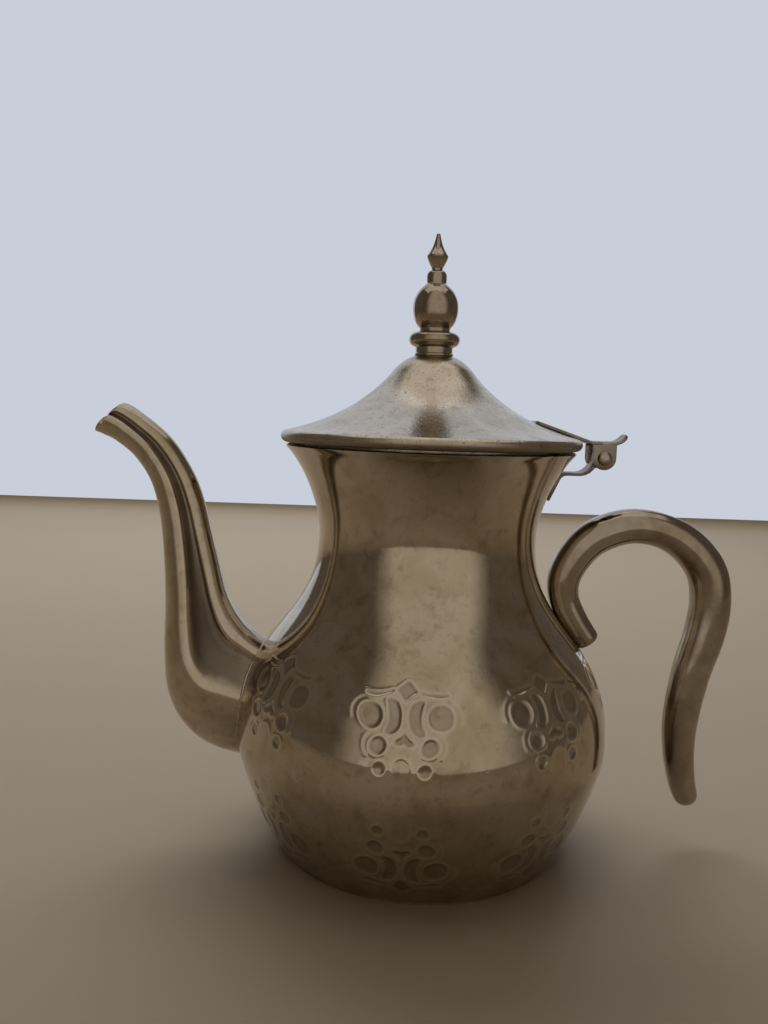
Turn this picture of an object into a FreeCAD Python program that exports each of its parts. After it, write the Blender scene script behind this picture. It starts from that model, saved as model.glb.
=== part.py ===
import FreeCAD, Part
import math
import os

V = FreeCAD.Vector

# Teapot of polished sheet metal with a hinged pointed lid, a swan-neck spout and a free-ended scroll handle.
# Millimetres. Z is up, the pot's turning axis is Z and the floor is z = 0.
# The spout points along -X, the lid hinge and the handle are on the +X side.

# Sheet thicknesses
sheet = 0.8
hinge_sheet = 1.1
base_thickness = 1.0

# Fits and clearances
lid_gap = 0.6
collar_clearance = 0.8
pin_clearance = 0.06
leaf_side_clearance = 0.25
stud_clearance = 0.15
braze_sink = 0.3

# Body outline: radii and heights of its stations
base_radius = 51.7
base_inset = 0.5
foot_lap = 2.5
belly_radius = 67.5
belly_height = 41.0
waist_radius = 39.2
waist_height = 113.3
mouth_radius = 52.2
body_height = 144.5
lower_seam_height = 32.0
shoulder_seam_height = 70.0
neck_seam_height = 98.0

# Body outline: how the curve leaves each station
foot_lean = 51.0
foot_pull = 5.0
belly_pull_below = 9.7
belly_pull_above = 37.7
waist_pull_below = 34.3
waist_pull_above = 9.7
mouth_flare = 46.0
mouth_pull = 9.7

# Strainer holes through the body wall behind the spout
strainer_hole_radius = 2.2
strainer_height = 50.0
strainer_row_pitch = 7.0
strainer_column_pitch = 7.5
strainer_middle_rows = 5
strainer_side_rows = 4

# Spout stations from the root to the beak: reach beyond the belly and height of the front edge,
# the same of the rear edge, half the width across, then how far the side flute is formed
spout_stations = [
    (-13.5, 27.0, -21.5, 66.0, 13.0, 0.20),
    (2.1, 28.9, -8.6, 72.8, 14.5, 0.40),
    (13.6, 33.3, -3.3, 76.7, 14.4, 0.60),
    (22.4, 42.1, 0.0, 80.0, 13.5, 0.80),
    (26.9, 53.6, 2.8, 84.0, 12.2, 0.95),
    (28.0, 68.9, 5.7, 90.5, 10.5, 1.00),
    (27.8, 85.0, 8.4, 101.0, 9.2, 1.00),
    (28.4, 102.0, 11.1, 111.5, 8.2, 1.00),
    (29.9, 116.8, 14.0, 123.4, 7.5, 1.00),
    (33.1, 129.0, 18.4, 134.0, 7.0, 1.00),
    (38.9, 137.9, 26.0, 145.1, 6.8, 1.00),
    (45.5, 143.3, 36.5, 153.7, 6.9, 1.00),
    (50.0, 145.5, 42.7, 156.9, 7.0, 1.00),
    (55.5, 148.0, 48.2, 154.0, 7.0, 1.00),
]
# Shares of the half width at even turns from the front edge to the rear edge.
# The front lobe is full, then comes the side flute and then the narrow rear ridge.
spout_widths = (0.40, 0.76, 1.00, 0.92, 0.52, 0.54, 0.34)
beak_cut_radius = 18.0
beak_cut_inset = 1.8

# Handle stations from the brazed root to the free tip: place of the middle line, measured out from the
# body's wall and up from the middle of the braze, then the thickness seen from the side
handle_height = 78.0
handle_stations = [
    (6.9, -5.5, 9.2),
    (1.0, 4.4, 9.8),
    (-3.6, 14.2, 11.2),
    (-1.2, 25.4, 12.8),
    (7.7, 36.2, 13.2),
    (19.7, 40.5, 12.8),
    (31.3, 39.5, 12.7),
    (41.6, 34.2, 13.6),
    (49.3, 25.0, 14.4),
    (51.6, 13.5, 14.8),
    (50.2, 1.0, 14.7),
    (46.2, -14.5, 13.9),
    (43.8, -31.4, 12.8),
    (44.0, -43.8, 11.5),
    (45.9, -55.2, 10.0),
    (49.0, -64.2, 8.2),
]
handle_width_share = 0.95
handle_loft_steps = 22
handle_section_steps = 6
handle_root_round = 2.0
handle_tip_round = 3.0
handle_round_shares = (0.0, 0.15, 0.45, 1.0)

# Lid outline
lid_overhang = 1.5
bead_radius = 2.3
lid_rise = 27.5
lid_top_radius = 7.0
shoulder_radius = 14.1
shoulder_drop = 5.1
eave_slope = 14.5
eave_pull = 16.9
shoulder_slope = 51.0
shoulder_pull_below = 15.3
shoulder_pull_above = 1.5
crown_slope = 15.5
crown_pull = 3.2
hem_width = 1.6

# Locating collar under the lid
collar_depth = 5.5
collar_flange_lap = 1.2

# Finial, stacked on a stud
stud_radius = 2.0
foot_radius = 6.95
foot_height = 1.0
neck_radius = 6.65
neck_height = 2.4
ring_radius = 9.1
ring_height = 5.0
saddle_radius = 5.4
saddle_height = 1.4
ball_radius = 8.05
ball_height = 15.6
drum_radius = 3.5
drum_height = 4.6
drum_round = 1.0
spire_neck_radius = 1.9
spire_neck_height = 1.0
spire_bulge_radius = 3.55
spire_bulge_rise = 3.6
spire_tip_radius = 0.6
spire_tip_rise = 8.2
spire_peg_radius = 1.2
spire_peg_length = 5.0
stud_reach = 22.0
nut_across_flats = 7.0
nut_thickness = 3.2
washer_radius = 5.0
washer_thickness = 0.8
stud_end = 1.2

# Lid hinge
hinge_reach = 9.4
hinge_drop = 1.3
pin_radius = 1.75
rivet_head_radius = 2.5
rivet_head_height = 1.5
leaf_width = 10.0
ear_radius = 4.2
bridge_rise = 5.9
strap_inner_radius = 37.0
strap_bend_radius = 3.0
tab_reach = 4.4
tab_rise = 3.0
tab_width = 8.5
tab_bend_radius = 2.0
leaf_low = 16.9
leaf_high = 8.3
leaf_shelf_drop = 6.1
leaf_lower_bend = 2.2
leaf_upper_bend = 4.2
knuckle_wrap = 250.0


def point(across, up):
    """Point in the XZ plane."""
    return V(across, 0, up)


def line(start, end):
    return Part.makeLine(start, end)


def polyline(points):
    return [line(a, b) for a, b in zip(points, points[1:])]


def arc(start, middle, end):
    return Part.Arc(start, middle, end).toShape()


def bezier(points):
    curve = Part.BezierCurve()
    curve.setPoles(points)
    return curve


def along(degrees, length):
    """Step in the XZ plane, at an angle measured from +X towards +Z."""
    angle = math.radians(degrees)
    return point(length * math.cos(angle), length * math.sin(angle))


def turned(edges):
    """Solid turned about Z from a closed chain of edges in the XZ plane."""
    face = Part.Face(Part.Wire(Part.__sortEdges__(edges)))
    return face.revolve(V(0, 0, 0), V(0, 0, 1), 360)


def turned_from(outline, low, high):
    """Solid turned from an open outline that is closed by the axis between two heights."""
    foot = outline[0].valueAt(outline[0].FirstParameter)
    top = outline[-1].valueAt(outline[-1].LastParameter)
    closing = polyline([top, point(0, high), point(0, low), foot])
    return turned(list(outline) + [edge for edge in closing if edge.Length > 1e-6])


def ring(outer, inner, low, high):
    return turned(polyline([
        point(inner, low),
        point(outer, low),
        point(outer, high),
        point(inner, high),
        point(inner, low),
    ]))


def disc(radius, low, high):
    return Part.makeCylinder(radius, high - low, point(0, low))


def body_curves():
    """Outer outline of the body, from the foot over belly and waist to the mouth."""
    foot = point(base_radius, base_thickness)
    belly = point(belly_radius, belly_height)
    waist = point(waist_radius, waist_height)
    mouth = point(mouth_radius, body_height)
    lower = bezier([
        foot,
        foot + along(90 - foot_lean, foot_pull),
        belly - point(0, belly_pull_below),
        belly,
    ])
    shoulder = bezier([
        belly,
        belly + point(0, belly_pull_above),
        waist - point(0, waist_pull_below),
        waist,
    ])
    neck = bezier([
        waist,
        waist + point(0, waist_pull_above),
        mouth - along(90 - mouth_flare, mouth_pull),
        mouth,
    ])
    return [lower, shoulder, neck]


def radius_at(height):
    """Outer radius of the body at a height."""
    curve = next(part for part in body_curves() if part.value(1.0).z >= height)
    low, high = 0.0, 1.0
    for _ in range(40):
        middle = (low + high) / 2
        if curve.value(middle).z < height:
            low = middle
        else:
            high = middle
    return curve.value(low).x


def inset_points(curves, depth, steps=8):
    """Points of a chain of curves, each moved to the left of the way that the curve runs."""
    points = []
    for curve in curves:
        for step in range(1, steps + 1):
            at = step / steps
            way = curve.tangent(at)[0]
            points.append(curve.value(at) + point(-way.z, way.x) * depth)
    return points


def through(points):
    curve = Part.BSplineCurve()
    curve.interpolate(points)
    return curve.toShape()


def body_solid():
    """Outer form of the body, filled."""
    edges = [curve.toShape() for curve in body_curves()]
    return turned_from(edges, base_thickness, body_height)


def body_inside():
    """Space inside the body, run on past the mouth."""
    floor = base_thickness + sheet
    wall = sheet / math.cos(math.radians(foot_lean))
    points = [point(radius_at(floor) - wall, floor)] + inset_points(body_curves(), sheet)
    return turned_from([through(points)], floor, points[-1].z)


def strainer_holes():
    """Rows of round holes through the wall behind the spout, the side rows staggered."""
    holes = []
    for column, rows in ((-1, strainer_side_rows), (0, strainer_middle_rows), (1, strainer_side_rows)):
        for row in range(rows):
            height = strainer_height + (row - (rows - 1) / 2) * strainer_row_pitch
            start = V(0, column * strainer_column_pitch, height)
            holes.append(Part.makeCylinder(strainer_hole_radius, belly_radius + sheet, start, V(-1, 0, 0)))
    return holes


def body_ring(low, high):
    """Ring of the body's wall between two seams, with what it holds of the foot's hole and the strainer."""
    foot_hole = disc(base_radius - foot_lap, base_thickness, base_thickness + sheet)
    wall = body_solid().cut(body_inside()).cut([foot_hole] + strainer_holes())
    return wall.common(disc(2 * belly_radius, low, high))


def base_plate():
    return disc(base_radius - base_inset, 0, base_thickness)


def half_curve(points):
    """One half of a smooth closed curve, even on both sides of the middle plane, one step per point."""
    mirrored = [V(place.x, -place.y, place.z) for place in points[-2:0:-1]]
    closed = points + mirrored
    curve = Part.BSplineCurve()
    curve.interpolate(
        Points=closed,
        PeriodicFlag=True,
        Parameters=[float(step) for step in range(len(closed) + 1)],
    )
    curve.segment(0.0, len(points) - 1.0)
    return curve


def half_section(points, side):
    """Closed wire of a half curve, run on a little past the middle plane."""
    past = V(0, -side * sheet, 0)
    closing = polyline([points[-1], points[-1] + past, points[0] + past, points[0]])
    return Part.Wire([half_curve(points).toShape()] + closing)


def half_space(side):
    """Large box on one side of the middle plane."""
    reach = 2 * (belly_radius + body_height)
    return Part.makeBox(reach, reach, reach, V(-reach / 2, min(0, side) * reach, -reach / 2))


def spout_section(station, side, wall):
    """Half section of the spout between its edges, moved in by a wall thickness."""
    front, rear, half_width, flute = spout_edges(station)
    depth = rear - front
    inwards = V(depth).normalize()
    widths = (0.0,) + spout_widths + (0.0,)
    points = []
    for step, fluted in enumerate(widths):
        turn = math.pi * step / (len(widths) - 1)
        width = half_width * (math.sin(turn) * (1 - flute) + fluted * flute)
        points.append(front + depth * ((1 - math.cos(turn)) / 2) + V(0, side * width, 0))
    curve = half_curve(points)
    for step in range(len(points)):
        way = curve.tangent(step)[0]
        square = inwards * (side * way.y) - V(0, side * way.dot(inwards), 0)
        points[step] = points[step] + square * wall
    return half_section(points, side)


def spout_edges(station):
    front_out, front_up, rear_out, rear_up, half_width, flute = station
    front = point(-(belly_radius + front_out), front_up)
    rear = point(-(belly_radius + rear_out), rear_up)
    return front, rear, half_width, flute


def beak_cut():
    """Round cutter that hollows the pouring mouth between the beak and the end of the ridge."""
    front, rear, _, _ = spout_edges(spout_stations[-1])
    chord = rear - front
    outwards = point(-chord.z, chord.x).normalize()
    sagitta = beak_cut_radius - math.sqrt(beak_cut_radius ** 2 - (chord.Length / 2) ** 2)
    centre = (front + rear) * 0.5 + outwards * (beak_cut_radius - sagitta - beak_cut_inset)
    length = 4 * belly_radius
    return Part.makeCylinder(beak_cut_radius, length, centre - V(0, length / 2, 0), V(0, 1, 0))


def spout_form(side, wall):
    """Filled half of the spout, smaller by a wall thickness."""
    return Part.makeLoft([spout_section(station, side, wall) for station in spout_stations], True, False)


def spout_half(side):
    """One pressed half of the spout, fitted to the body's wall."""
    tube = spout_form(side, 0.0).cut(spout_form(side, sheet)).cut([body_solid(), beak_cut()])
    return tube.common(half_space(side))


def handle_guide():
    """Curve through the handle's middle line, whose Y carries half the thickness."""
    wall = radius_at(handle_height)
    points = [V(wall + out, thick / 2, handle_height + up) for out, up, thick in handle_stations]
    guide = Part.BSplineCurve()
    guide.interpolate(points)
    return guide


def handle_section(guide, at, side, inset):
    """Half-round section of the handle square to its middle line, smaller by an inset."""
    place = guide.value(at)
    way = guide.tangent(at)[0]
    middle = point(place.x, place.z)
    outwards = point(-way.z, way.x).normalize() * (place.y - inset)
    across = V(0, side * (place.y * handle_width_share - inset), 0)
    points = []
    for step in range(handle_section_steps + 1):
        turn = math.pi * step / handle_section_steps
        points.append(middle + outwards * math.cos(turn) + across * math.sin(turn))
    return half_section(points, side)


def handle_form(side):
    """Filled half of the handle with rounded ends."""
    guide = handle_guide()
    length = guide.length()
    places = []
    for share in handle_round_shares:
        places.append((handle_root_round * share, handle_root_round, share))
        places.append((length - handle_tip_round * share, handle_tip_round, share))
    run = length - handle_root_round - handle_tip_round
    for step in range(1, handle_loft_steps):
        places.append((handle_root_round + run * step / handle_loft_steps, 0.0, 1.0))
    sections = []
    for distance, rounding, share in sorted(places):
        removed = rounding * (1 - math.sqrt(1 - (1 - share) ** 2))
        sections.append(handle_section(guide, guide.parameterAtDistance(distance), side, removed))
    return Part.makeLoft(sections, True, False)


def handle_hollow(side):
    """Space inside one half of the handle, between its closed ends."""
    guide = handle_guide()
    run = guide.length() - handle_root_round - handle_tip_round
    sections = []
    for step in range(handle_loft_steps + 1):
        at = guide.parameterAtDistance(handle_root_round + run * step / handle_loft_steps)
        sections.append(handle_section(guide, at, side, sheet))
    return Part.makeLoft(sections, True, False)


def handle_half(side):
    """One pressed half of the hollow handle, fitted to the body's shoulder."""
    return handle_form(side).cut(handle_hollow(side)).cut(body_solid()).common(half_space(side))


def lid_heights():
    """Heights of the lid's hem, of its bead's middle and of its flat top."""
    hem = body_height + lid_gap
    bead = hem + bead_radius
    return hem, bead, bead + bead_radius + lid_rise


def lid_curves():
    """Outer outline of the lid, from the top of the bead up to the flat top."""
    _, bead, top = lid_heights()
    rim_radius = mouth_radius + lid_overhang
    eave = point(rim_radius - bead_radius, bead) + along(90 - eave_slope, bead_radius)
    shoulder = point(shoulder_radius, top - shoulder_drop)
    crown = point(lid_top_radius, top)
    rising = bezier([
        eave,
        eave + along(180 - eave_slope, eave_pull),
        shoulder - along(180 - shoulder_slope, shoulder_pull_below),
        shoulder,
    ])
    closing = bezier([
        shoulder,
        shoulder + along(180 - shoulder_slope, shoulder_pull_above),
        crown - along(180 - crown_slope, crown_pull),
        crown,
    ])
    return [rising, closing]


def bead_arc(radius):
    """Rolled edge of the lid, from the bottom round the outside to where the eave begins."""
    _, bead, _ = lid_heights()
    centre = point(mouth_radius + lid_overhang - bead_radius, bead)
    return arc(
        centre + along(-90, radius),
        centre + along(0, radius),
        centre + along(90 - eave_slope, radius),
    )


def lid_solid():
    """Outer form of the lid, filled."""
    hem, _, top = lid_heights()
    return turned_from([bead_arc(bead_radius)] + [curve.toShape() for curve in lid_curves()], hem, top)


def lid_shell():
    hem, _, top = lid_heights()
    bead = bead_arc(bead_radius - sheet)
    start = bead.valueAt(bead.LastParameter)
    points = [start] + inset_points(lid_curves(), sheet)
    points[-1] = point(points[-1].x, top - sheet)
    inside = turned_from([bead, through(points)], hem + sheet, top - sheet)
    opening = disc(mouth_radius + lid_overhang - bead_radius - hem_width, hem, hem + sheet)
    stud_hole = disc(stud_radius + stud_clearance, top - 2 * sheet, top + sheet)
    return lid_solid().cut([inside, opening, stud_hole])


def lid_inner_collar():
    """Flanged ring that lies on the lid's hem and drops into the mouth."""
    hem, _, _ = lid_heights()
    bottom = body_height - collar_depth
    wall = sheet / math.cos(math.radians(mouth_flare))
    radius = radius_at(bottom) - wall - collar_clearance
    flange = mouth_radius + lid_overhang - bead_radius - hem_width + collar_flange_lap
    return turned(polyline([
        point(radius - sheet, bottom),
        point(radius, bottom),
        point(radius, hem + sheet),
        point(flange, hem + sheet),
        point(flange, hem + 2 * sheet),
        point(radius - sheet, hem + 2 * sheet),
        point(radius - sheet, bottom),
    ]))


def finial_heights():
    """Heights where the finial's three turned pieces stand on each other."""
    _, _, top = lid_heights()
    collar_top = top + foot_height + neck_height + ring_height
    ball_top = collar_top + saddle_height + ball_height + drum_height
    return top, collar_top, ball_top


def drilled(solid, radius, low, high):
    return solid.cut(disc(radius, low, high))


def finial_collar():
    low, high, _ = finial_heights()
    neck = low + foot_height
    ring_low = neck + neck_height
    middle = (ring_low + high) / 2
    outline = polyline([
        point(foot_radius, low),
        point(foot_radius, neck),
        point(neck_radius, neck),
        point(neck_radius, ring_low),
    ])
    outline.append(arc(point(neck_radius, ring_low), point(ring_radius, middle), point(neck_radius, high)))
    return drilled(turned_from(outline, low, high), stud_radius + stud_clearance, low, high)


def finial_ball():
    _, low, high = finial_heights()
    ball_low = low + saddle_height
    ball_top = ball_low + ball_height
    middle = (ball_low + ball_top) / 2
    bow = arc(point(saddle_radius, ball_low), point(ball_radius, middle), point(drum_radius, ball_top))
    outline = [
        line(point(saddle_radius, low), point(saddle_radius, ball_low)),
        through(bow.discretize(9)),
        line(point(drum_radius, ball_top), point(drum_radius, high - drum_round)),
        line(point(drum_radius, high - drum_round), point(drum_radius - drum_round, high)),
    ]
    ball = drilled(turned_from(outline, low, high), stud_radius, low, finial_heights()[0] + stud_reach)
    return drilled(ball, spire_peg_radius, high - spire_peg_length, high)


def finial_spire():
    _, _, low = finial_heights()
    neck = low + spire_neck_height
    bulge = neck + spire_bulge_rise
    tip = bulge + spire_tip_rise
    outline = [
        line(point(spire_neck_radius, low), point(spire_neck_radius, neck)),
        line(point(spire_neck_radius, neck), point(spire_bulge_radius, bulge)),
        arc(
            point(spire_bulge_radius, bulge),
            point((spire_bulge_radius + spire_tip_radius) * 0.42, (bulge + tip) / 2),
            point(spire_tip_radius, tip),
        ),
    ]
    peg = disc(spire_peg_radius, low - spire_peg_length, low)
    return turned_from(outline, low, tip).fuse(peg)


def stud_heights():
    """Heights of the stud's lower end, the nut, the washer and the underside of the lid's top."""
    top = finial_heights()[0]
    under = top - sheet
    washer = under - washer_thickness
    nut = washer - nut_thickness
    return nut - stud_end, nut, washer, under


def finial_stud():
    return disc(stud_radius, stud_heights()[0], finial_heights()[0] + stud_reach)


def finial_washer():
    _, _, low, high = stud_heights()
    return ring(washer_radius, stud_radius + stud_clearance, low, high)


def finial_nut():
    _, low, high, _ = stud_heights()
    corner = nut_across_flats / 2 / math.cos(math.radians(30))
    corners = []
    for step in range(7):
        turn = math.radians(60 * step)
        corners.append(V(corner * math.cos(turn), corner * math.sin(turn), low))
    face = Part.Face(Part.makePolygon(corners))
    return drilled(face.extrude(V(0, 0, high - low)), stud_radius, low, high)


def pin_centre():
    return point(mouth_radius + hinge_reach, body_height - hinge_drop)


def bent_path(points, radii):
    """Straight runs joined by tangent arcs."""
    edges = []
    start = points[0]
    for before, corner, after, radius in zip(points, points[1:], points[2:], radii):
        back = (before - corner).normalize()
        ahead = (after - corner).normalize()
        half = back.getAngle(ahead) / 2
        reach = radius / math.tan(half)
        middle = corner + (back + ahead).normalize() * (radius / math.sin(half) - radius)
        edges.append(line(start, corner + back * reach))
        start = corner + ahead * reach
        edges.append(arc(corner + back * reach, middle, start))
    edges.append(line(start, points[-1]))
    return edges


def strip(edges, width):
    """Bent strip of hinge sheet whose middle follows a path in the XZ plane."""
    path = Part.Wire(edges)
    start = edges[0].valueAt(edges[0].FirstParameter)
    way = edges[0].tangentAt(edges[0].FirstParameter)
    up = point(-way.z, way.x) * (hinge_sheet / 2)
    side = V(0, width / 2, 0)
    corners = [start + up + side, start + up - side, start - up - side, start - up + side]
    return path.makePipeShell([Part.makePolygon(corners + corners[:1])], True, False)


def neck_hinge_leaf():
    """Strip brazed to the neck, bent out and up, and rolled round the pin."""
    pin = pin_centre()
    seat = hinge_sheet / 2 - braze_sink
    ends = [point(radius_at(body_height - drop), body_height - drop) for drop in (leaf_low, leaf_high)]
    lean = (ends[1] - ends[0]).normalize()
    off = point(lean.z, -lean.x) * seat
    knuckle = pin_radius + pin_clearance + hinge_sheet / 2
    shelf = pin.z - leaf_shelf_drop
    rise = pin.x - knuckle
    bend = ends[1] + off
    turn_out = bend + lean * ((shelf - bend.z) / lean.z)
    edges = bent_path(
        [ends[0] + off, turn_out, point(rise, shelf), point(rise, pin.z)],
        [leaf_lower_bend, leaf_upper_bend],
    )
    edges.append(arc(
        pin + along(180, knuckle),
        pin + along(180 - knuckle_wrap / 2, knuckle),
        pin + along(180 - knuckle_wrap, knuckle),
    ))
    return strip(edges, leaf_width).cut(body_solid())


def ear_faces():
    """Distances of an ear's inner and outer faces from the middle plane."""
    inner = leaf_width / 2 + leaf_side_clearance
    return inner, inner + hinge_sheet


def hinge_ear(side):
    """Plate that hangs from the bridge and holds the pin."""
    pin = pin_centre()
    inner, outer = ear_faces()
    low = inner if side > 0 else -outer
    top = pin.z + bridge_rise
    start = V(pin.x - ear_radius, low, pin.z)
    plate = Part.makeBox(2 * ear_radius, hinge_sheet, top - pin.z, start)
    boss = Part.makeCylinder(ear_radius, hinge_sheet, V(pin.x, low, pin.z), V(0, 1, 0))
    hole = Part.makeCylinder(pin_radius, hinge_sheet, V(pin.x, low, pin.z), V(0, 1, 0))
    return plate.fuse(boss).cut(hole)


def lid_surface_height(radius):
    """Height of the lid's outer surface at a radius."""
    low, high = 0.0, 1.0
    curve = lid_curves()[0]
    for _ in range(40):
        middle = (low + high) / 2
        if curve.value(middle).x > radius:
            low = middle
        else:
            high = middle
    return curve.value(low).z


def lid_hinge_leaf():
    """Strap brazed to the lid, bridge over the knuckle with an ear on each side, and thumb tab."""
    pin = pin_centre()
    width = 2 * ear_faces()[1]
    bridge = pin.z + bridge_rise - hinge_sheet / 2
    start = point(strap_inner_radius, lid_surface_height(strap_inner_radius) + hinge_sheet / 2 - braze_sink)
    bend = point(mouth_radius + lid_overhang + braze_sink, bridge)
    bridge_end = point(pin.x + ear_radius, bridge)
    strap = strip(bent_path([start, bend, bridge_end], [strap_bend_radius]), width)
    tab_start = point(pin.x, bridge)
    tab_tip = bridge_end + point(tab_reach, tab_rise)
    tab = strip(bent_path([tab_start, bridge_end, tab_tip], [tab_bend_radius]), tab_width)
    leaf = strap.fuse([tab, hinge_ear(-1), hinge_ear(1)]).removeSplitter()
    return leaf.cut(lid_solid())


def hinge_pin():
    """Rivet through the ears and the knuckle, with a domed head at each end."""
    pin = pin_centre()
    half = ear_faces()[1]
    outline = [
        line(point(0, -half - rivet_head_height), point(0, half + rivet_head_height)),
        line(point(rivet_head_radius, half), point(pin_radius, half)),
        line(point(pin_radius, half), point(pin_radius, -half)),
        line(point(pin_radius, -half), point(rivet_head_radius, -half)),
    ]
    dome = (rivet_head_radius ** 2 + rivet_head_height ** 2) / (2 * rivet_head_height)
    turn = math.asin(rivet_head_radius / dome) / 2
    crown = half + rivet_head_height
    for end in (1, -1):
        outline.append(arc(
            point(rivet_head_radius, end * half),
            point(dome * math.sin(turn), end * (crown - dome * (1 - math.cos(turn)))),
            point(0, end * crown),
        ))
    rivet = turned(outline)
    rivet.rotate(V(0, 0, 0), V(1, 0, 0), 90)
    rivet.translate(pin)
    return rivet


def nodes():
    return {
        "body_lower": body_ring(base_thickness, lower_seam_height),
        "body_belly": body_ring(lower_seam_height, shoulder_seam_height),
        "body_shoulder": body_ring(shoulder_seam_height, neck_seam_height),
        "body_neck": body_ring(neck_seam_height, body_height),
        "base_plate": base_plate(),
        "spout_left_half": spout_half(1),
        "spout_right_half": spout_half(-1),
        "handle_left_half": handle_half(1),
        "handle_right_half": handle_half(-1),
        "neck_hinge_leaf": neck_hinge_leaf(),
        "lid_hinge_leaf": lid_hinge_leaf(),
        "hinge_pin": hinge_pin(),
        "lid_shell": lid_shell(),
        "lid_inner_collar": lid_inner_collar(),
        "finial_collar": finial_collar(),
        "finial_ball": finial_ball(),
        "finial_spire": finial_spire(),
        "finial_stud": finial_stud(),
        "finial_washer": finial_washer(),
        "finial_nut": finial_nut(),
    }


def main():
    os.makedirs("parts", exist_ok=True)
    for name, shape in nodes().items():
        shape.exportStep("parts/" + name + ".step")
        print(name, len(shape.Solids), shape.isValid(), round(shape.Volume, 1))


main()
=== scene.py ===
import bpy
import bmesh
import math
import numpy as np
from mathutils import Matrix, Vector


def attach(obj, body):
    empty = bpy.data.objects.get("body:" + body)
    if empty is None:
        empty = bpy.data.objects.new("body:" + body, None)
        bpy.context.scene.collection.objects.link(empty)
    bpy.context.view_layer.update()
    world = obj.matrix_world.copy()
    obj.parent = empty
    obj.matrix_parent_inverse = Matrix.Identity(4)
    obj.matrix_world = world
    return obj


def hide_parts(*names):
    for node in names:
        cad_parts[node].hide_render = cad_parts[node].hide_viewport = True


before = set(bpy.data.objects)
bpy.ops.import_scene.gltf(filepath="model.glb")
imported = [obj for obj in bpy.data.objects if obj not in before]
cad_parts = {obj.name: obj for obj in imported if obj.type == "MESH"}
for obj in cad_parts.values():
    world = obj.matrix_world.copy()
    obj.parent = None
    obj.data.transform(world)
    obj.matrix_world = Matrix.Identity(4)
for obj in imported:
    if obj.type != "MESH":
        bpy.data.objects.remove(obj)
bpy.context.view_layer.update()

# Sizes are in millimetres and angles in degrees, the same as the pot's solids.
# A place on an outline is a radius and a height. Each mesh is scaled to metres when its piece is finished.
MM = 0.001
SHEET = 0.8
STRIP = 1.1
FOOT = (51.7, 1.0)
FOOT_LAP_RADIUS = 49.2
BELLY_RADIUS = 67.5
BELLY = (BELLY_RADIUS, 41.0)
WAIST_RADIUS = 39.2
WAIST = (WAIST_RADIUS, 113.3)
MOUTH_RADIUS = 52.2
BODY_TOP = 144.5
MOUTH = (MOUTH_RADIUS, BODY_TOP)
RIM_RADIUS = 53.7
LID_GAP = 0.6
BEAD = 2.3
PIN = (61.6, 143.2)
PIN_RADIUS = 1.75
PIN_CLEARANCE = 0.06

# Edges that turn by more than this stay crisp, on turned and bent sheet and on pressed tube
SHEET_CREASE = 40
TUBE_CREASE = 60
# Points closer than this become one point, on turned pieces, on the body's wall and on the spout
WELD = 1e-4
WALL_WELD = 2e-3
SPOUT_WELD = 1e-3


# Outlines


def bezier(a, b, c, d, steps):
    """Points of a cubic curve, both ends included."""
    corners = [np.array(p, float) for p in (a, b, c, d)]
    points = []
    for step in range(steps + 1):
        t = step / steps
        weights = ((1 - t) ** 3, 3 * t * (1 - t) ** 2, 3 * t * t * (1 - t), t ** 3)
        points.append(sum(w * p for w, p in zip(weights, corners)))
    return points


def turned_step(point, degrees, length):
    """Point at a distance and a direction from another."""
    angle = math.radians(degrees)
    return (point[0] + length * math.cos(angle), point[1] + length * math.sin(angle))


def arc_points(centre, radius, first, last, steps):
    """Points of an arc between two angles."""
    return [turned_step(centre, first + (last - first) * k / steps, radius) for k in range(steps + 1)]


def lifted(points, height):
    """Outline moved up."""
    return [(radius, height + up) for radius, up in points]


def run_lengths(points):
    """Distance of each point along its outline."""
    points = np.array(points, float)
    hops = np.linalg.norm(np.diff(points, axis=0), axis=1)
    return np.concatenate([[0.0], np.cumsum(hops)])


def at_runs(points, runs):
    """Points of an outline at given distances along it."""
    points = np.array(points, float)
    lengths = run_lengths(points)
    return np.stack([np.interp(runs, lengths, points[:, k]) for k in range(points.shape[1])], axis=1)


def smooth_through(points, steps, closed=False):
    """Smooth line through points, with a number of steps between neighbours."""
    points = [np.array(p, float) for p in points]
    if closed:
        points = points[-1:] + points + points[:2]
    else:
        points = [2 * points[0] - points[1]] + points + [2 * points[-1] - points[-2]]
    line = []
    for p0, p1, p2, p3 in zip(points, points[1:], points[2:], points[3:]):
        for step in range(steps):
            t = step / steps
            line.append(0.5 * (2 * p1 + (p2 - p0) * t + (2 * p0 - 5 * p1 + 4 * p2 - p3) * t * t
                               + (3 * p1 - p0 - 3 * p2 + p3) * t ** 3))
    return line + [points[-2]]


def inset(points, depth):
    """Outline moved to the left of the way that it runs."""
    points = np.array(points, float)
    ways = np.gradient(points, axis=0)
    ways /= np.linalg.norm(ways, axis=1)[:, None]
    return points + np.stack([-ways[:, 1], ways[:, 0]], axis=1) * depth


def as_pairs(points):
    """Outline as plain pairs of radius and height."""
    return [tuple(p) for p in points]


# Making pieces


def marked_mesh(*marks):
    """Empty mesh that keeps a number at each vertex for every named mark."""
    bm = bmesh.new()
    for mark in marks:
        bm.verts.layers.float.new(mark)
    return (bm, *(bm.verts.layers.float[mark] for mark in marks))


def chain(bm, points, closed=False):
    """Vertices and edges along points in the XZ plane or in space."""
    verts = [bm.verts.new((p[0], 0.0, p[1]) if len(p) == 2 else p) for p in points]
    edges = [bm.edges.new(pair) for pair in zip(verts, verts[1:])]
    if closed:
        edges.append(bm.edges.new((verts[-1], verts[0])))
    return verts, edges


def fresh_verts(geom):
    """Vertices among the things that an operator made."""
    return [item for item in geom if isinstance(item, bmesh.types.BMVert)]


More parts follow.
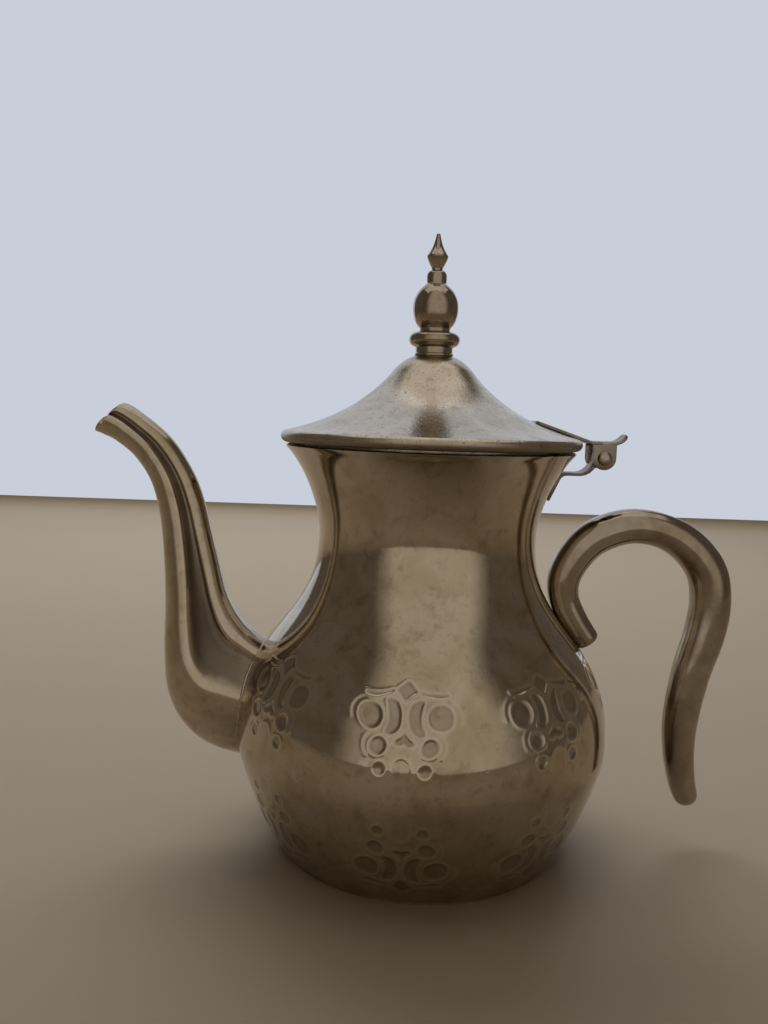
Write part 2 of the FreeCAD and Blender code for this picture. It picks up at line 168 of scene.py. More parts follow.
def spin_full(bm, geom, steps, centre=(0, 0, 0), axis=(0, 0, 1)):
    """Turns an outline once round an axis and closes its seam."""
    bmesh.ops.spin(bm, geom=geom, cent=centre, axis=axis, angle=math.tau, steps=steps, use_merge=True)
    bmesh.ops.remove_doubles(bm, verts=bm.verts[:], dist=WELD)


def turn_about_pot(bm, verts, angle):
    """Turns vertices about the pot's axis by an angle in radians."""
    bmesh.ops.rotate(bm, cent=(0, 0, 0), matrix=Matrix.Rotation(angle, 3, "Z"), verts=verts)


def link_mesh(name, bm):
    """Puts a bmesh into the scene as an object."""
    mesh = bpy.data.meshes.new(name)
    bm.to_mesh(mesh)
    bm.free()
    thing = bpy.data.objects.new(name, mesh)
    bpy.context.scene.collection.objects.link(thing)
    return thing


def finish_piece(name, bm, body, material, stands_for=(), crease=SHEET_CREASE):
    """Turns a bmesh in millimetres into a piece that rides on a body and stands for CAD nodes."""
    bmesh.ops.recalc_face_normals(bm, faces=bm.faces[:])
    bmesh.ops.scale(bm, vec=(MM, MM, MM), verts=bm.verts[:])
    piece = link_mesh(name, bm)
    for face in piece.data.polygons:
        face.use_smooth = True
    if crease is not None:
        piece.data.set_sharp_from_angle(angle=math.radians(crease))
    piece.data.materials.append(material)
    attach(piece, body)
    if stands_for:
        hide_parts(*stands_for)
    return piece


def turned_piece(name, outline, steps, material, node, closed=True, painted_shade=()):
    """Piece of the lid turned about the pot's axis from an outline, with painted shade on its first points.
    """
    bm, hollows = marked_mesh("hollow")
    verts, edges = chain(bm, outline, closed)
    for vert, dark in zip(verts, painted_shade):
        vert[hollows] = dark
    spin_full(bm, verts + edges, steps)
    return finish_piece(name, bm, "lid", material, [node])


def ring_edges(bm, ring):
    return [bm.edges.get(pair) for pair in zip(ring, ring[1:] + ring[:1])]


def ring_loft(bm, rings, closed=False):
    """Tube through rings of points with the same count, joined up or capped at its ends.

    Gives its rows of vertices.
    """
    ring = bmesh.ops.create_circle(bm, segments=len(rings[0]), radius=1.0)["verts"]
    for vert, place in zip(ring, rings[0]):
        vert.co = place
    first = ring_edges(bm, ring)
    edges = first
    rows = [ring]
    for places in rings[1:]:
        fresh = set(fresh_verts(bmesh.ops.extrude_edge_only(bm, edges=edges)["geom"]))
        ring = [next(e.other_vert(v) for e in v.link_edges if e.other_vert(v) in fresh) for v in ring]
        for vert, place in zip(ring, places):
            vert.co = place
        edges = ring_edges(bm, ring)
        rows.append(ring)
    if closed:
        bmesh.ops.bridge_loops(bm, edges=first + edges)
    else:
        bmesh.ops.contextual_create(bm, geom=first)
        bmesh.ops.contextual_create(bm, geom=edges)
    return rows


# Shared surface effects


def group_tree(name, inputs, outputs):
    """Node group of number sockets, with the inputs' values and the outputs' names."""
    tree = bpy.data.node_groups.new(name, "ShaderNodeTree")
    for label, value in inputs.items():
        socket = tree.interface.new_socket(name=label, in_out="INPUT", socket_type="NodeSocketFloat")
        socket.default_value = value
    for label in outputs:
        tree.interface.new_socket(name=label, in_out="OUTPUT", socket_type="NodeSocketFloat")
    return tree, tree.nodes.new("NodeGroupInput"), tree.nodes.new("NodeGroupOutput")


def put(tree, kind, **settings):
    """Adds a node. Settings with a leading capital go to its input sockets."""
    node = tree.nodes.new(kind)
    for key, value in settings.items():
        if key[0].isupper():
            node.inputs[key.replace("_", " ")].default_value = value
        else:
            setattr(node, key, value)
    return node


def join(tree, start, end):
    tree.links.new(start, end)


def feed(tree, socket, value):
    """Gives a socket a link, a colour or a plain number."""
    if isinstance(value, bpy.types.NodeSocket):
        join(tree, value, socket)
    elif isinstance(value, tuple):
        socket.default_value = (*value, 1)
    else:
        socket.default_value = value


def math_node(tree, operation, first, second=None, clamp=False):
    node = put(tree, "ShaderNodeMath", operation=operation, use_clamp=clamp)
    feed(tree, node.inputs[0], first)
    if second is not None:
        feed(tree, node.inputs[1], second)
    return node.outputs[0]


def times(tree, first, second):
    return math_node(tree, "MULTIPLY", first, second)


def plus(tree, first, second, clamp=False):
    return math_node(tree, "ADD", first, second, clamp)


def ramp(tree, value, stops):
    """Grey ramp from (place, grey) stops."""
    node = tree.nodes.new("ShaderNodeValToRGB")
    marks = node.color_ramp.elements
    while len(marks) < len(stops):
        marks.new(0.5)
    for mark, (place, grey) in zip(marks, stops):
        mark.position = place
        mark.color = (grey, grey, grey, 1)
    join(tree, value, node.inputs["Fac"])
    return node.outputs["Color"]


def noise(tree, place, scale, **settings):
    """Noise at a place, with its scale as a link or a number."""
    node = put(tree, "ShaderNodeTexNoise", **settings)
    join(tree, place, node.inputs["Vector"])
    feed(tree, node.inputs["Scale"], scale)
    return node.outputs["Fac"]


def mix_colour(tree, factor, first, second):
    node = put(tree, "ShaderNodeMix", data_type="RGBA")
    sockets = [s for s in node.inputs if s.enabled]
    for socket, value in zip(sockets, (factor, first, second)):
        feed(tree, socket, value)
    return [s for s in node.outputs if s.enabled][0]


BLOTCHES_TO_CLOUDS = 3.2


def make_tarnish():
    """Cloudy stains, smaller blotches among them, and specks of worn plating."""
    tree, start, end = group_tree(
        "tarnish", {"Cloud Scale": 40.0, "Speck Scale": 700.0}, ("Clouds", "Blotches", "Specks"))
    place = put(tree, "ShaderNodeTexCoord").outputs["Object"]
    cloud_scale = start.outputs["Cloud Scale"]
    clouds = noise(tree, place, cloud_scale, Detail=5.0, Roughness=0.6, Distortion=0.6)
    join(tree, ramp(tree, clouds, [(0.38, 0.0), (0.68, 1.0)]), end.inputs["Clouds"])
    blotch_scale = times(tree, cloud_scale, BLOTCHES_TO_CLOUDS)
    blotches = noise(tree, place, blotch_scale, Detail=6.0, Roughness=0.65, Distortion=0.3)
    patches = ramp(tree, blotches, [(0.53, 0.0), (0.66, 1.0)])
    join(tree, times(tree, patches, clouds), end.inputs["Blotches"])
    specks = noise(tree, place, start.outputs["Speck Scale"], Detail=2.0, Roughness=0.5)
    join(tree, ramp(tree, specks, [(0.60, 0.0), (0.74, 1.0)]), end.inputs["Specks"])
    return tree


def make_rubbing():
    """Fine rubbing marks that run up and down the turned surface, and a few longer scratches."""
    tree, start, end = group_tree("rubbing", {"Around": 90.0, "Along": 18.0}, ("Marks", "Scratches"))
    parts = put(tree, "ShaderNodeSeparateXYZ")
    join(tree, put(tree, "ShaderNodeTexCoord").outputs["Object"], parts.inputs[0])
    turn = math_node(tree, "ARCTAN2", parts.outputs["Y"], parts.outputs["X"])
    place = put(tree, "ShaderNodeCombineXYZ")
    join(tree, times(tree, turn, start.outputs["Around"]), place.inputs["X"])
    join(tree, times(tree, parts.outputs["Z"], start.outputs["Along"]), place.inputs["Y"])
    marks = noise(tree, place.outputs[0], 1.0, Detail=4.0, Roughness=0.7)
    join(tree, marks, end.inputs["Marks"])
    lines = noise(tree, place.outputs[0], 0.6, Detail=1.0, Roughness=0.4)
    join(tree, ramp(tree, lines, [(0.70, 0.0), (0.76, 1.0)]), end.inputs["Scratches"])
    return tree


PATINA = (0.30, 0.24, 0.17)
# Painted shade: dark colour for the spout's flute, also used to darken the spout's inside
FLUTE_PAINTED_SHADE = (0.12, 0.096, 0.076)
# Patina in the ornament's cells, painted shade under the lid's rolled edge, and the colour that darkens the
# body's inside
SUNK_PATINA_AND_SHADE = (0.19, 0.15, 0.11)
# Paler colour on marked edges: rubbed plating and painted highlight on the ornament's raised lines, painted
# highlight on the spout's flute edges
RUBBED_EDGE_HIGHLIGHT = (0.70, 0.63, 0.52)
TARNISH = make_tarnish()
RUBBING = make_rubbing()
# How much the marked places darken and dull the plating (patina in the ornament's cells, painted shade in the
# spout's flute and under the lid's rolled edge, and a darker inside), and how pale its marked edges are
# painted, as rubbed plating and painted highlight
HOLLOW_DARK = 0.6
HOLLOW_DULL = 0.18
EDGE_PALE = 0.45
# How much of the range of roughness clouds, rubbing marks and specks take up
CLOUD_DULL = 0.5
RUB_DULL = 0.5
SPECK_DULL = 0.6
# Depth of specks and scratches beside the rubbing marks, and of the whole in metres
SPECK_DEPTH = 0.6
SCRATCH_DEPTH = 0.8
RELIEF_DEPTH = 0.0002


def plated_metal(name, colour, stain, rough, bump, cloud=40.0, speck=700.0, speckle=0.35,
                 around=90.0, along=18.0, sunk=None):
    """Polished plating: colour with stains, gloss that dulls in clouds and specks, and rubbing marks.

    A sunk colour goes into the hollows that the piece marks, as patina and as painted shade, and its marked
    edges are painted paler, as rubbed plating and painted highlight.
    """
    material = bpy.data.materials.new(name)
    material.use_nodes = True
    tree = material.node_tree
    shader = tree.nodes["Principled BSDF"]
    shader.inputs["Metallic"].default_value = 1.0
    tarnish = put(tree, "ShaderNodeGroup", node_tree=TARNISH, Cloud_Scale=cloud, Speck_Scale=speck).outputs
    rubbing = put(tree, "ShaderNodeGroup", node_tree=RUBBING, Around=around, Along=along).outputs
    low, high = rough
    spread = high - low
    tone = mix_colour(tree, tarnish["Clouds"], colour, stain)
    tone = mix_colour(tree, tarnish["Blotches"], tone, PATINA)
    tone = mix_colour(tree, times(tree, tarnish["Specks"], speckle), tone, PATINA)
    dull = times(tree, tarnish["Clouds"], spread * CLOUD_DULL)
    dull = plus(tree, dull, times(tree, rubbing["Marks"], spread * RUB_DULL))
    dull = plus(tree, dull, times(tree, tarnish["Specks"], spread * SPECK_DULL))
    if sunk:
        hollow = put(tree, "ShaderNodeAttribute", attribute_name="hollow").outputs["Fac"]
        rubbed_and_lit = put(tree, "ShaderNodeAttribute", attribute_name="rubbed_highlight").outputs["Fac"]
        # Marked hollows take the sunk colour: patina, and painted shade on some pieces
        tone = mix_colour(tree, times(tree, hollow, HOLLOW_DARK), tone, sunk)
        # Marked edges painted paler: rubbed plating and painted highlight
        tone = mix_colour(tree, times(tree, rubbed_and_lit, EDGE_PALE), tone, RUBBED_EDGE_HIGHLIGHT)
        dull = plus(tree, dull, times(tree, hollow, HOLLOW_DULL))
    join(tree, tone, shader.inputs["Base Color"])
    join(tree, plus(tree, dull, low, clamp=True), shader.inputs["Roughness"])
    relief = plus(tree, rubbing["Marks"], times(tree, tarnish["Specks"], -SPECK_DEPTH))
    relief = math_node(tree, "SUBTRACT", relief, times(tree, rubbing["Scratches"], SCRATCH_DEPTH))
    height = put(tree, "ShaderNodeBump", Strength=bump, Distance=RELIEF_DEPTH)
    join(tree, relief, height.inputs["Height"])
    join(tree, height.outputs["Normal"], shader.inputs["Normal"])
    return material


# Colour, stain, range of roughness and strength of the relief of each finish
NICKEL_STAIN = (0.43, 0.35, 0.24)
body_plating = plated_metal(
    "body_plating", (0.55, 0.48, 0.38), NICKEL_STAIN, (0.03, 0.11), 0.05, cloud=55.0, sunk=SUNK_PATINA_AND_SHADE)
spout_plating = plated_metal(
    "spout_plating", (0.53, 0.465, 0.37), NICKEL_STAIN, (0.08, 0.20), 0.08, cloud=70.0, sunk=FLUTE_PAINTED_SHADE)
# The handle's plating is a darker copy of the nickel: painted shade
shaded_handle_plating = plated_metal(
    "shaded_handle_plating", (0.44, 0.385, 0.31), (0.33, 0.265, 0.185), (0.08, 0.20), 0.08, cloud=70.0)
lid_plating = plated_metal(
    "lid_plating", (0.62, 0.54, 0.43), (0.50, 0.43, 0.33), (0.14, 0.30), 0.22, cloud=90.0, speck=1250.0,
    speckle=0.9, around=30.0, along=600.0, sunk=SUNK_PATINA_AND_SHADE)
finial_plating = plated_metal(
    "finial_plating", (0.44, 0.375, 0.30), (0.36, 0.29, 0.21), (0.05, 0.16), 0.08, cloud=200.0,
    around=4.0, along=1500.0)
strip_metal = plated_metal(
    "strip_metal", (0.36, 0.32, 0.265), (0.22, 0.185, 0.145), (0.20, 0.42), 0.20, cloud=160.0)
# Darker copy of the strip metal, for the neck strip: painted shade
shaded_strip_metal = plated_metal(
    "shaded_strip_metal", (0.25, 0.215, 0.175), (0.15, 0.125, 0.10), (0.20, 0.42), 0.20, cloud=160.0)
rivet_metal = plated_metal(
    "rivet_metal", (0.54, 0.48, 0.39), (0.38, 0.32, 0.25), (0.18, 0.40), 0.15, cloud=300.0)
plain_steel = plated_metal(
    "plain_steel", (0.45, 0.44, 0.42), (0.33, 0.31, 0.28), (0.28, 0.50), 0.25, cloud=200.0)


# Body with its chased ornament

# Lean of the wall at its foot and at its mouth, and how far the curve follows that lean
FOOT_LEAN = (39, 5.0)
MOUTH_LEAN = (224, 9.7)
# Heights to which the wall is drawn straight up or down from the belly and from the waist
BELLY_PULL = (31.3, 78.7)
WAIST_PULL = (79.0, 123.0)
LOWER = bezier(FOOT, turned_step(FOOT, *FOOT_LEAN), (BELLY_RADIUS, BELLY_PULL[0]), BELLY, 120)
SHOULDER = bezier(BELLY, (BELLY_RADIUS, BELLY_PULL[1]), (WAIST_RADIUS, WAIST_PULL[0]), WAIST, 200)
NECK = bezier(WAIST, (WAIST_RADIUS, WAIST_PULL[1]), turned_step(MOUTH, *MOUTH_LEAN), MOUTH, 100)
BODY_LINE = LOWER + SHOULDER[1:] + NECK[1:]
BODY_LENGTH = run_lengths(BODY_LINE)[-1]

# Distances along the wall's outline: the bands of ornament, the foot of the ornament in each band,
# the seams between the rings of the wall, and where the inside starts above the lap of the foot
LOWER_BAND = (4.6, 38.2)
UPPER_BAND = (48.6, 82.2)
LOWER_ORNAMENT_FOOT = 36.8
UPPER_ORNAMENT_FOOT = 50.0
LOWER_SEAM = 43.4
UPPER_SEAM = 84.4
INSIDE_START = 1.6
RIM_ROUNDING = 0.4
# Repeats of the ornament round the body, the turn of the front one, and the angle that each takes up
REPEATS = 8
FRONT_TURN = -6.9
CHASED_TURN = 33.0
# How strongly the inner side of the wall and of the spout is darkened with the sunk colour
INSIDE_DARKENING = 1.2


def body_radius(height):
    return float(np.interp(height, [p[1] for p in BODY_LINE], [p[0] for p in BODY_LINE]))


def circle_line(centre, radius, first=0.0, last=360.0, steps=28):
    return [np.array(p) for p in arc_points(centre, radius, first, last, steps)]


def both_sides(half, closed):
    """Line whose second half mirrors its first half."""
    stop = 0 if closed else None
    return half + [(-x, y) for x, y in half[-2:stop:-1]]


# Lines of one ornament, across and up from its foot
DIAMOND_HALF = [(0, 30.7), (1.8, 29.4), (3.5, 27.2), (1.9, 25.1), (0, 23.4)]
HEART_HALF = [(0, 15.3), (1.5, 13.6), (3.5, 11.9), (3.0, 10.6), (1.4, 10.3), (0, 11.0)]
ARCH_HALF = [(3.4, 0.6), (3.2, 4.4), (2.1, 6.6), (0, 7.4)]
WING = [
    (3.7, 27.6), (6.6, 27.0), (10.0, 26.7), (13.0, 26.6), (12.4, 25.0), (9.6, 24.5), (6.8, 25.2), (4.4, 25.9),
]
CRESCENT = [
    (4.7, 25.0), (2.4, 24.0), (1.1, 21.6), (0.85, 18.8), (1.4, 16.0), (2.9, 14.0), (4.7, 13.2),
    (6.2, 13.8), (6.3, 15.2), (5.4, 17.0), (5.2, 19.4), (5.6, 22.3), (6.0, 24.2),
]


def motif():
    """Raised lines of one ornament, as (line, closed cell or not)."""
    middle = [
        (smooth_through(both_sides(DIAMOND_HALF, True), 4, True), True),
        (smooth_through(both_sides(HEART_HALF, True), 4, True), True),
        (smooth_through(both_sides(ARCH_HALF, False), 5), False),
    ]
    side = [
        (smooth_through(WING, 4, True), True),
        (circle_line((10.9, 19.2), 4.3), True),
        (circle_line((11.5, 19.2), 6.0, 82.0, -14.0, 14), False),
        (smooth_through(CRESCENT, 4, True), True),
        (circle_line((7.9, 10.3), 3.1), True),
        (circle_line((8.3, 10.6), 4.5, 52.0, -48.0, 10), False),
        (circle_line((6.95, 3.5), 2.35, steps=20), True),
    ]
    flipped = [([np.array((-p[0], p[1])) for p in line], cell) for line, cell in side]
    return middle + side + flipped


def distance_to_line(places, line):
    """Least distance of each place to a line of short runs."""
    least = np.full(len(places), 1e9)
    for a, b in zip(line, line[1:]):
        way = b - a
        share = np.clip(((places - a) @ way) / max(way @ way, 1e-9), 0.0, 1.0)
        least = np.minimum(least, np.linalg.norm(places - a - share[:, None] * way, axis=1))
    return least


def inside_line(places, line):
    """Whether each place lies inside a closed line."""
    inside = np.zeros(len(places), bool)
    for a, b in zip(line, line[1:]):
        if abs(b[1] - a[1]) < 1e-9:
            continue
        crosses = (a[1] > places[:, 1]) != (b[1] > places[:, 1])
        across = a[0] + (places[:, 1] - a[1]) * (b[0] - a[0]) / (b[1] - a[1])
        inside ^= crosses & (places[:, 0] < across)
    return inside


def bump_at(away, width):
    """One on a line, fading to nothing over a width on both sides."""
    return np.exp(-(away / width) ** 2)


# Raised edge of a cell, its share on a line that closes no cell, and the slope and depth of a cell's floor
EDGE_WIDTH = 0.6
EDGE_HEIGHT = 0.15
OPEN_LINE_SHARE = 0.8
CELL_SLOPE = 1.0
CELL_DEPTH = 0.30
# Patina on a cell's floor, more of it along the floor's edge, and how much the raised edge is wiped clean
FLOOR_PATINA = 0.45
EDGE_PATINA = 0.55
EDGE_PATINA_PLACE = 0.7
EDGE_PATINA_WIDTH = 0.5
EDGE_WIPE = 0.8


def chased_height(across, up):
    """Height of the ornament at places across and up from its foot, with its patina and its raised edges,
    which are painted paler as rubbed plating and painted highlight.
    """
    places = np.stack([across, up], axis=1)
    edge = np.zeros(len(places))
    sunk = np.zeros(len(places))
    patina = np.zeros(len(places))
    for line, cell in motif():
        away = distance_to_line(places, line)
        edge = np.maximum(edge, bump_at(away, EDGE_WIDTH) * (1.0 if cell else OPEN_LINE_SHARE))
        if cell:
            within = inside_line(places, line)
            sunk = np.maximum(sunk, within * (1.0 - bump_at(away, CELL_SLOPE)))
            dark = FLOOR_PATINA + EDGE_PATINA * bump_at(away - EDGE_PATINA_PLACE, EDGE_PATINA_WIDTH)
            patina = np.maximum(patina, within * dark)
    return EDGE_HEIGHT * edge - CELL_DEPTH * sunk, patina * (1.0 - EDGE_WIPE * edge), edge


def wall_rows(low, high, band, fine, plain):
    """Distances along the body's outline where rows of faces lie, close in a band of ornament."""
    rows = list(np.arange(low, band[0], plain)) + list(np.arange(band[0], band[1], fine))
    return np.array(rows + list(np.arange(band[1], high - plain / 2, plain)) + [high])


def wall_inside(runs):
    """Points of the wall's inner side, straight behind its outer side."""
    inner = inset(BODY_LINE, SHEET)
    lengths = run_lengths(BODY_LINE)
    return [tuple(float(np.interp(run, lengths, inner[:, k])) for k in (0, 1)) for run in runs]


def chased_turns(fine, plain):
    """Turns, in radians and steps, over the ornament and over the plain wall beside it."""
    chased = math.radians(CHASED_TURN)
    return [(chased, fine), (math.tau / REPEATS - chased, plain)]


def spin_wall(bm, geom, turns):
    """Spins a wall's outline through one repeat of the ornament, and repeats that all round."""
    turn_about_pot(bm, bm.verts[:], math.radians(-90.0 + FRONT_TURN - CHASED_TURN / 2))
    for angle, steps in turns:
        made = bmesh.ops.spin(bm, geom=geom, cent=(0, 0, 0), axis=(0, 0, 1), angle=angle, steps=steps)
        geom = made["geom_last"]
    sector = bm.verts[:] + bm.edges[:] + bm.faces[:]
    for k in range(1, REPEATS):
        copy = bmesh.ops.duplicate(bm, geom=sector)["geom"]
        turn_about_pot(bm, fresh_verts(copy), math.tau * k / REPEATS)
    bmesh.ops.remove_doubles(bm, verts=bm.verts[:], dist=WALL_WELD)
    bmesh.ops.recalc_face_normals(bm, faces=bm.faces[:])
    bm.normal_update()


# Wander of the hand-struck lines: how far, how many radians for a millimetre and how many for a repeat
SWAY_UP = (0.20, 0.35, 2.1)
SWAY_ACROSS = (0.14, 0.9, 1.3)
LIFT_ACROSS = (0.18, 0.45, 1.7)


def wander(kind, distance, repeat, start=0.0):
    size, pace, shift = kind
    return size * np.sin(pace * distance + shift * repeat + start)


def chase(bm, runs_mark, hollows, highlight_rubs, flipped, strength):
    """Works the ornament into the outer wall, once for each repeat round the body."""
    chased = [v for v in bm.verts if v[runs_mark] > 0.0]
    runs = np.array([v[runs_mark] for v in chased])
    places = np.array([v.co[:] for v in chased])
    turns = np.degrees(np.arctan2(places[:, 0], -places[:, 1])) - FRONT_TURN
    pitch = 360.0 / REPEATS
    repeat = np.round(turns / pitch)
    across = np.radians(turns - repeat * pitch) * np.hypot(places[:, 0], places[:, 1])
    up = LOWER_ORNAMENT_FOOT - runs if flipped else runs - UPPER_ORNAMENT_FOOT
    sway = wander(SWAY_UP, up, repeat) + wander(SWAY_ACROSS, across, repeat)
    lift = wander(LIFT_ACROSS, across, repeat, float(flipped))
    height, patina, rubbed_highlight = chased_height(across + sway, up + lift)
    for vert, rise, tone, shine in zip(chased, height, patina, rubbed_highlight):
        vert.co += vert.normal * float(rise) * strength
        vert[hollows] = float(tone)
        vert[highlight_rubs] = float(shine)


def make_wall(name, runs, inner_rows, turns, nodes, foot=(), rim=(), flipped=None, strength=1.0):
    """Ring of the body's wall with rows at distances along its outline.

    Its ornament is upright, flipped or, with None, left out.
    """
    outer = as_pairs(at_runs(BODY_LINE, runs))
    inner = wall_inside(np.linspace(runs[-1], max(runs[0], INSIDE_START), inner_rows))
    bm, runs_mark, hollows, highlight_rubs = marked_mesh("run", "hollow", "rubbed_highlight")
    verts, edges = chain(bm, outer + list(rim) + inner + list(foot), closed=True)
    for vert, run in zip(verts, runs):
        vert[runs_mark] = run
    # The inner side is darkened with the sunk colour
    for vert in verts[len(outer) + len(rim):]:
        vert[hollows] = INSIDE_DARKENING
    spin_wall(bm, verts + edges, turns)
    if flipped is not None:
        chase(bm, runs_mark, hollows, highlight_rubs, flipped, strength)
    return finish_piece(name, bm, "pot", body_plating, nodes)


lower_wall = make_wall(
    "lower_wall", wall_rows(0.0, LOWER_SEAM, LOWER_BAND, fine=0.5, plain=1.5), inner_rows=7,
    turns=chased_turns(fine=66, plain=8), nodes=["body_lower"],
    foot=[(FOOT_LAP_RADIUS, FOOT[1] + SHEET), (FOOT_LAP_RADIUS, FOOT[1])], flipped=True, strength=0.9)
belly_wall = make_wall(
    "chased_belly_wall", wall_rows(LOWER_SEAM, UPPER_SEAM, UPPER_BAND, fine=0.37, plain=1.2), inner_rows=7,
    turns=chased_turns(fine=88, plain=8), nodes=["body_belly"], flipped=False)
make_wall(
    "neck_wall", np.linspace(UPPER_SEAM, BODY_LENGTH - RIM_ROUNDING, 42), inner_rows=30,
    turns=[(math.tau / REPEATS, 36)], nodes=["body_shoulder", "body_neck"],
    rim=[(MOUTH_RADIUS - 0.12, BODY_TOP - 0.05), (MOUTH_RADIUS - 0.55, BODY_TOP)])


# Strainer behind the spout: columns of holes across it, with the count of holes in each

STRAINER_RADIUS = 2.2
STRAINER_HEIGHT = 50.0
STRAINER_PITCH = (7.5, 7.0)
STRAINER_COLUMNS = ((-1, 4), (0, 5), (1, 4))
STRAINER_SIDES = 20
# Edges shorter than this, in metres, are taken out after the drilling
DRILL_WELD = 1e-6


def make_strainer_drill():
    """Round bars that stand where the strainer's holes go through the wall."""
    bm = bmesh.new()
    across = Matrix.Rotation(math.pi / 2, 3, "Y")
    for column, rows in STRAINER_COLUMNS:
        for row in range(rows):
            bar = bmesh.ops.create_cone(bm, cap_ends=True, segments=STRAINER_SIDES, radius1=STRAINER_RADIUS,
                                        radius2=STRAINER_RADIUS, depth=BELLY_RADIUS / 2)["verts"]
            bmesh.ops.rotate(bm, cent=(0, 0, 0), matrix=across, verts=bar)
            height = STRAINER_HEIGHT + (row - (rows - 1) / 2) * STRAINER_PITCH[1]
            bmesh.ops.translate(bm, vec=(-BELLY_RADIUS, column * STRAINER_PITCH[0], height), verts=bar)
    bmesh.ops.scale(bm, vec=(MM, MM, MM), verts=bm.verts[:])
    return link_mesh("strainer_drill", bm)


def drill_wall(wall, drill):
    """Cuts the strainer's holes through one ring of the body's wall."""
    cut = wall.modifiers.new("strainer", "BOOLEAN")
    cut.operation = "DIFFERENCE"
    cut.solver = "EXACT"
    cut.object = drill
    drilled = wall.evaluated_get(bpy.context.evaluated_depsgraph_get())
    mesh = bpy.data.meshes.new_from_object(drilled)
    wall.modifiers.clear()
    bm = bmesh.new()
    bm.from_mesh(mesh)
    bmesh.ops.dissolve_degenerate(bm, dist=DRILL_WELD, edges=bm.edges[:])
    many_sided = [f for f in bm.faces if len(f.verts) > 4]
    bmesh.ops.triangulate(bm, faces=many_sided, quad_method="BEAUTY", ngon_method="BEAUTY")
    bm.to_mesh(mesh)
    bm.free()
    wall.data = mesh
    mesh.set_sharp_from_angle(angle=math.radians(SHEET_CREASE))


strainer_drill = make_strainer_drill()
drill_wall(lower_wall, strainer_drill)
drill_wall(belly_wall, strainer_drill)
bpy.data.objects.remove(strainer_drill)


# Spout

# Stations up the spout: x and height of its front edge and of its rear edge, its half width, how fully
# it is fluted, and the shares of its depth where the front lobe ends and where the rear ridge starts
SPOUT_STATIONS = [
    (-54.0, 27.0, -46.0, 66.0, 13.0, 0.50, 0.62, 0.86),
    (-69.6, 28.9, -58.9, 72.8, 14.5, 0.66, 0.61, 0.86),
    (-81.1, 33.3, -64.2, 76.7, 14.4, 0.82, 0.58, 0.85),
    (-89.9, 42.1, -67.5, 80.0, 13.5, 0.92, 0.5, 0.82),
    (-94.4, 53.6, -70.3, 84.0, 12.2, 1.0, 0.475, 0.8),
    (-95.5, 68.9, -73.2, 90.5, 10.5, 1.0, 0.485, 0.78),
    (-95.3, 85.0, -75.9, 101.0, 9.2, 1.0, 0.505, 0.745),
    (-95.9, 102.0, -78.6, 111.5, 8.2, 1.0, 0.52, 0.71),
    (-97.4, 116.8, -81.5, 123.4, 7.5, 1.0, 0.525, 0.68),
    (-100.6, 129.0, -85.9, 134.0, 7.0, 1.0, 0.53, 0.67),
    (-106.4, 137.9, -93.5, 145.1, 6.8, 1.0, 0.54, 0.665),
    (-113.0, 143.3, -104.0, 153.7, 6.9, 1.0, 0.56, 0.675),
    (-117.5, 145.5, -109.9, 157.0, 7.0, 1.0, 0.58, 0.69),
    (-119.4, 146.25, -112.8, 156.1, 7.0, 1.0, 0.61, 0.71),
    (-120.8, 146.75, -114.4, 153.9, 7.0, 1.0, 0.65, 0.745),
]
# Places in a station's row
FRONT_HEIGHT = 1
FLUTING = 5
# Steps between stations, the first stations, where the spout comes out of the body's wall, and their steps
STATION_STEPS = 8
ROOT_STATIONS = 6
ROOT_STEPS = 16

# Share of the depth from the front edge to the rear edge, and share of the half width there:
# the full front lobe, its rounded shoulder, the hollow flute and the narrow rear ridge
LOBE_END = 0.45
RIDGE_START = 0.75
SPOUT_HALF = [
    (0.0, 0.0), (0.012, 0.24), (0.05, 0.47), (0.11, 0.68), (0.19, 0.86), (0.28, 0.97), (0.36, 1.0),
    (0.41, 0.985), (0.435, 0.95), (0.455, 0.88), (0.475, 0.80), (0.50, 0.715), (0.54, 0.615), (0.58, 0.54),
    (0.62, 0.485), (0.66, 0.455), (0.70, 0.445), (0.725, 0.455), (0.75, 0.49), (0.77, 0.525), (0.80, 0.55),
    (0.84, 0.54), (0.89, 0.48), (0.94, 0.36), (0.98, 0.20), (1.0, 0.0),
]

# Painted shade in the flute and a painted highlight on its two edges, as marks across the section and how
# much there, and how the painted shade thins out up the spout
FLUTE_SHADE_SPREAD = ((0.43, 0.49, 0.68, 0.77), (0.0, 1.6, 1.6, 0.0))
FLUTE_SHADE_HEIGHTS = ((70.0, 105.0), (1.0, 0.72))
FLUTE_EDGE_SHINE = ((0.36, 0.42, 0.45, 0.76, 0.81, 0.88), (0.0, 0.9, 0.0, 0.0, 0.6, 0.0))
SPOUT_WALL = 0.9
# Rings of the beak's lip: how far in from the outside, and how far its middle is drawn back
BEAK_LIP = ((0.0, 1.2), (0.25, 1.0), (0.75, 1.2))
SEAM_RADIUS = 0.55
SEAM_STEPS = 120
SEAM_SIDES = 8
# Ripples of the solder, as shares of its radius and radians for a step
SEAM_RIPPLES = ((0.12, 0.9), (0.08, 2.3))


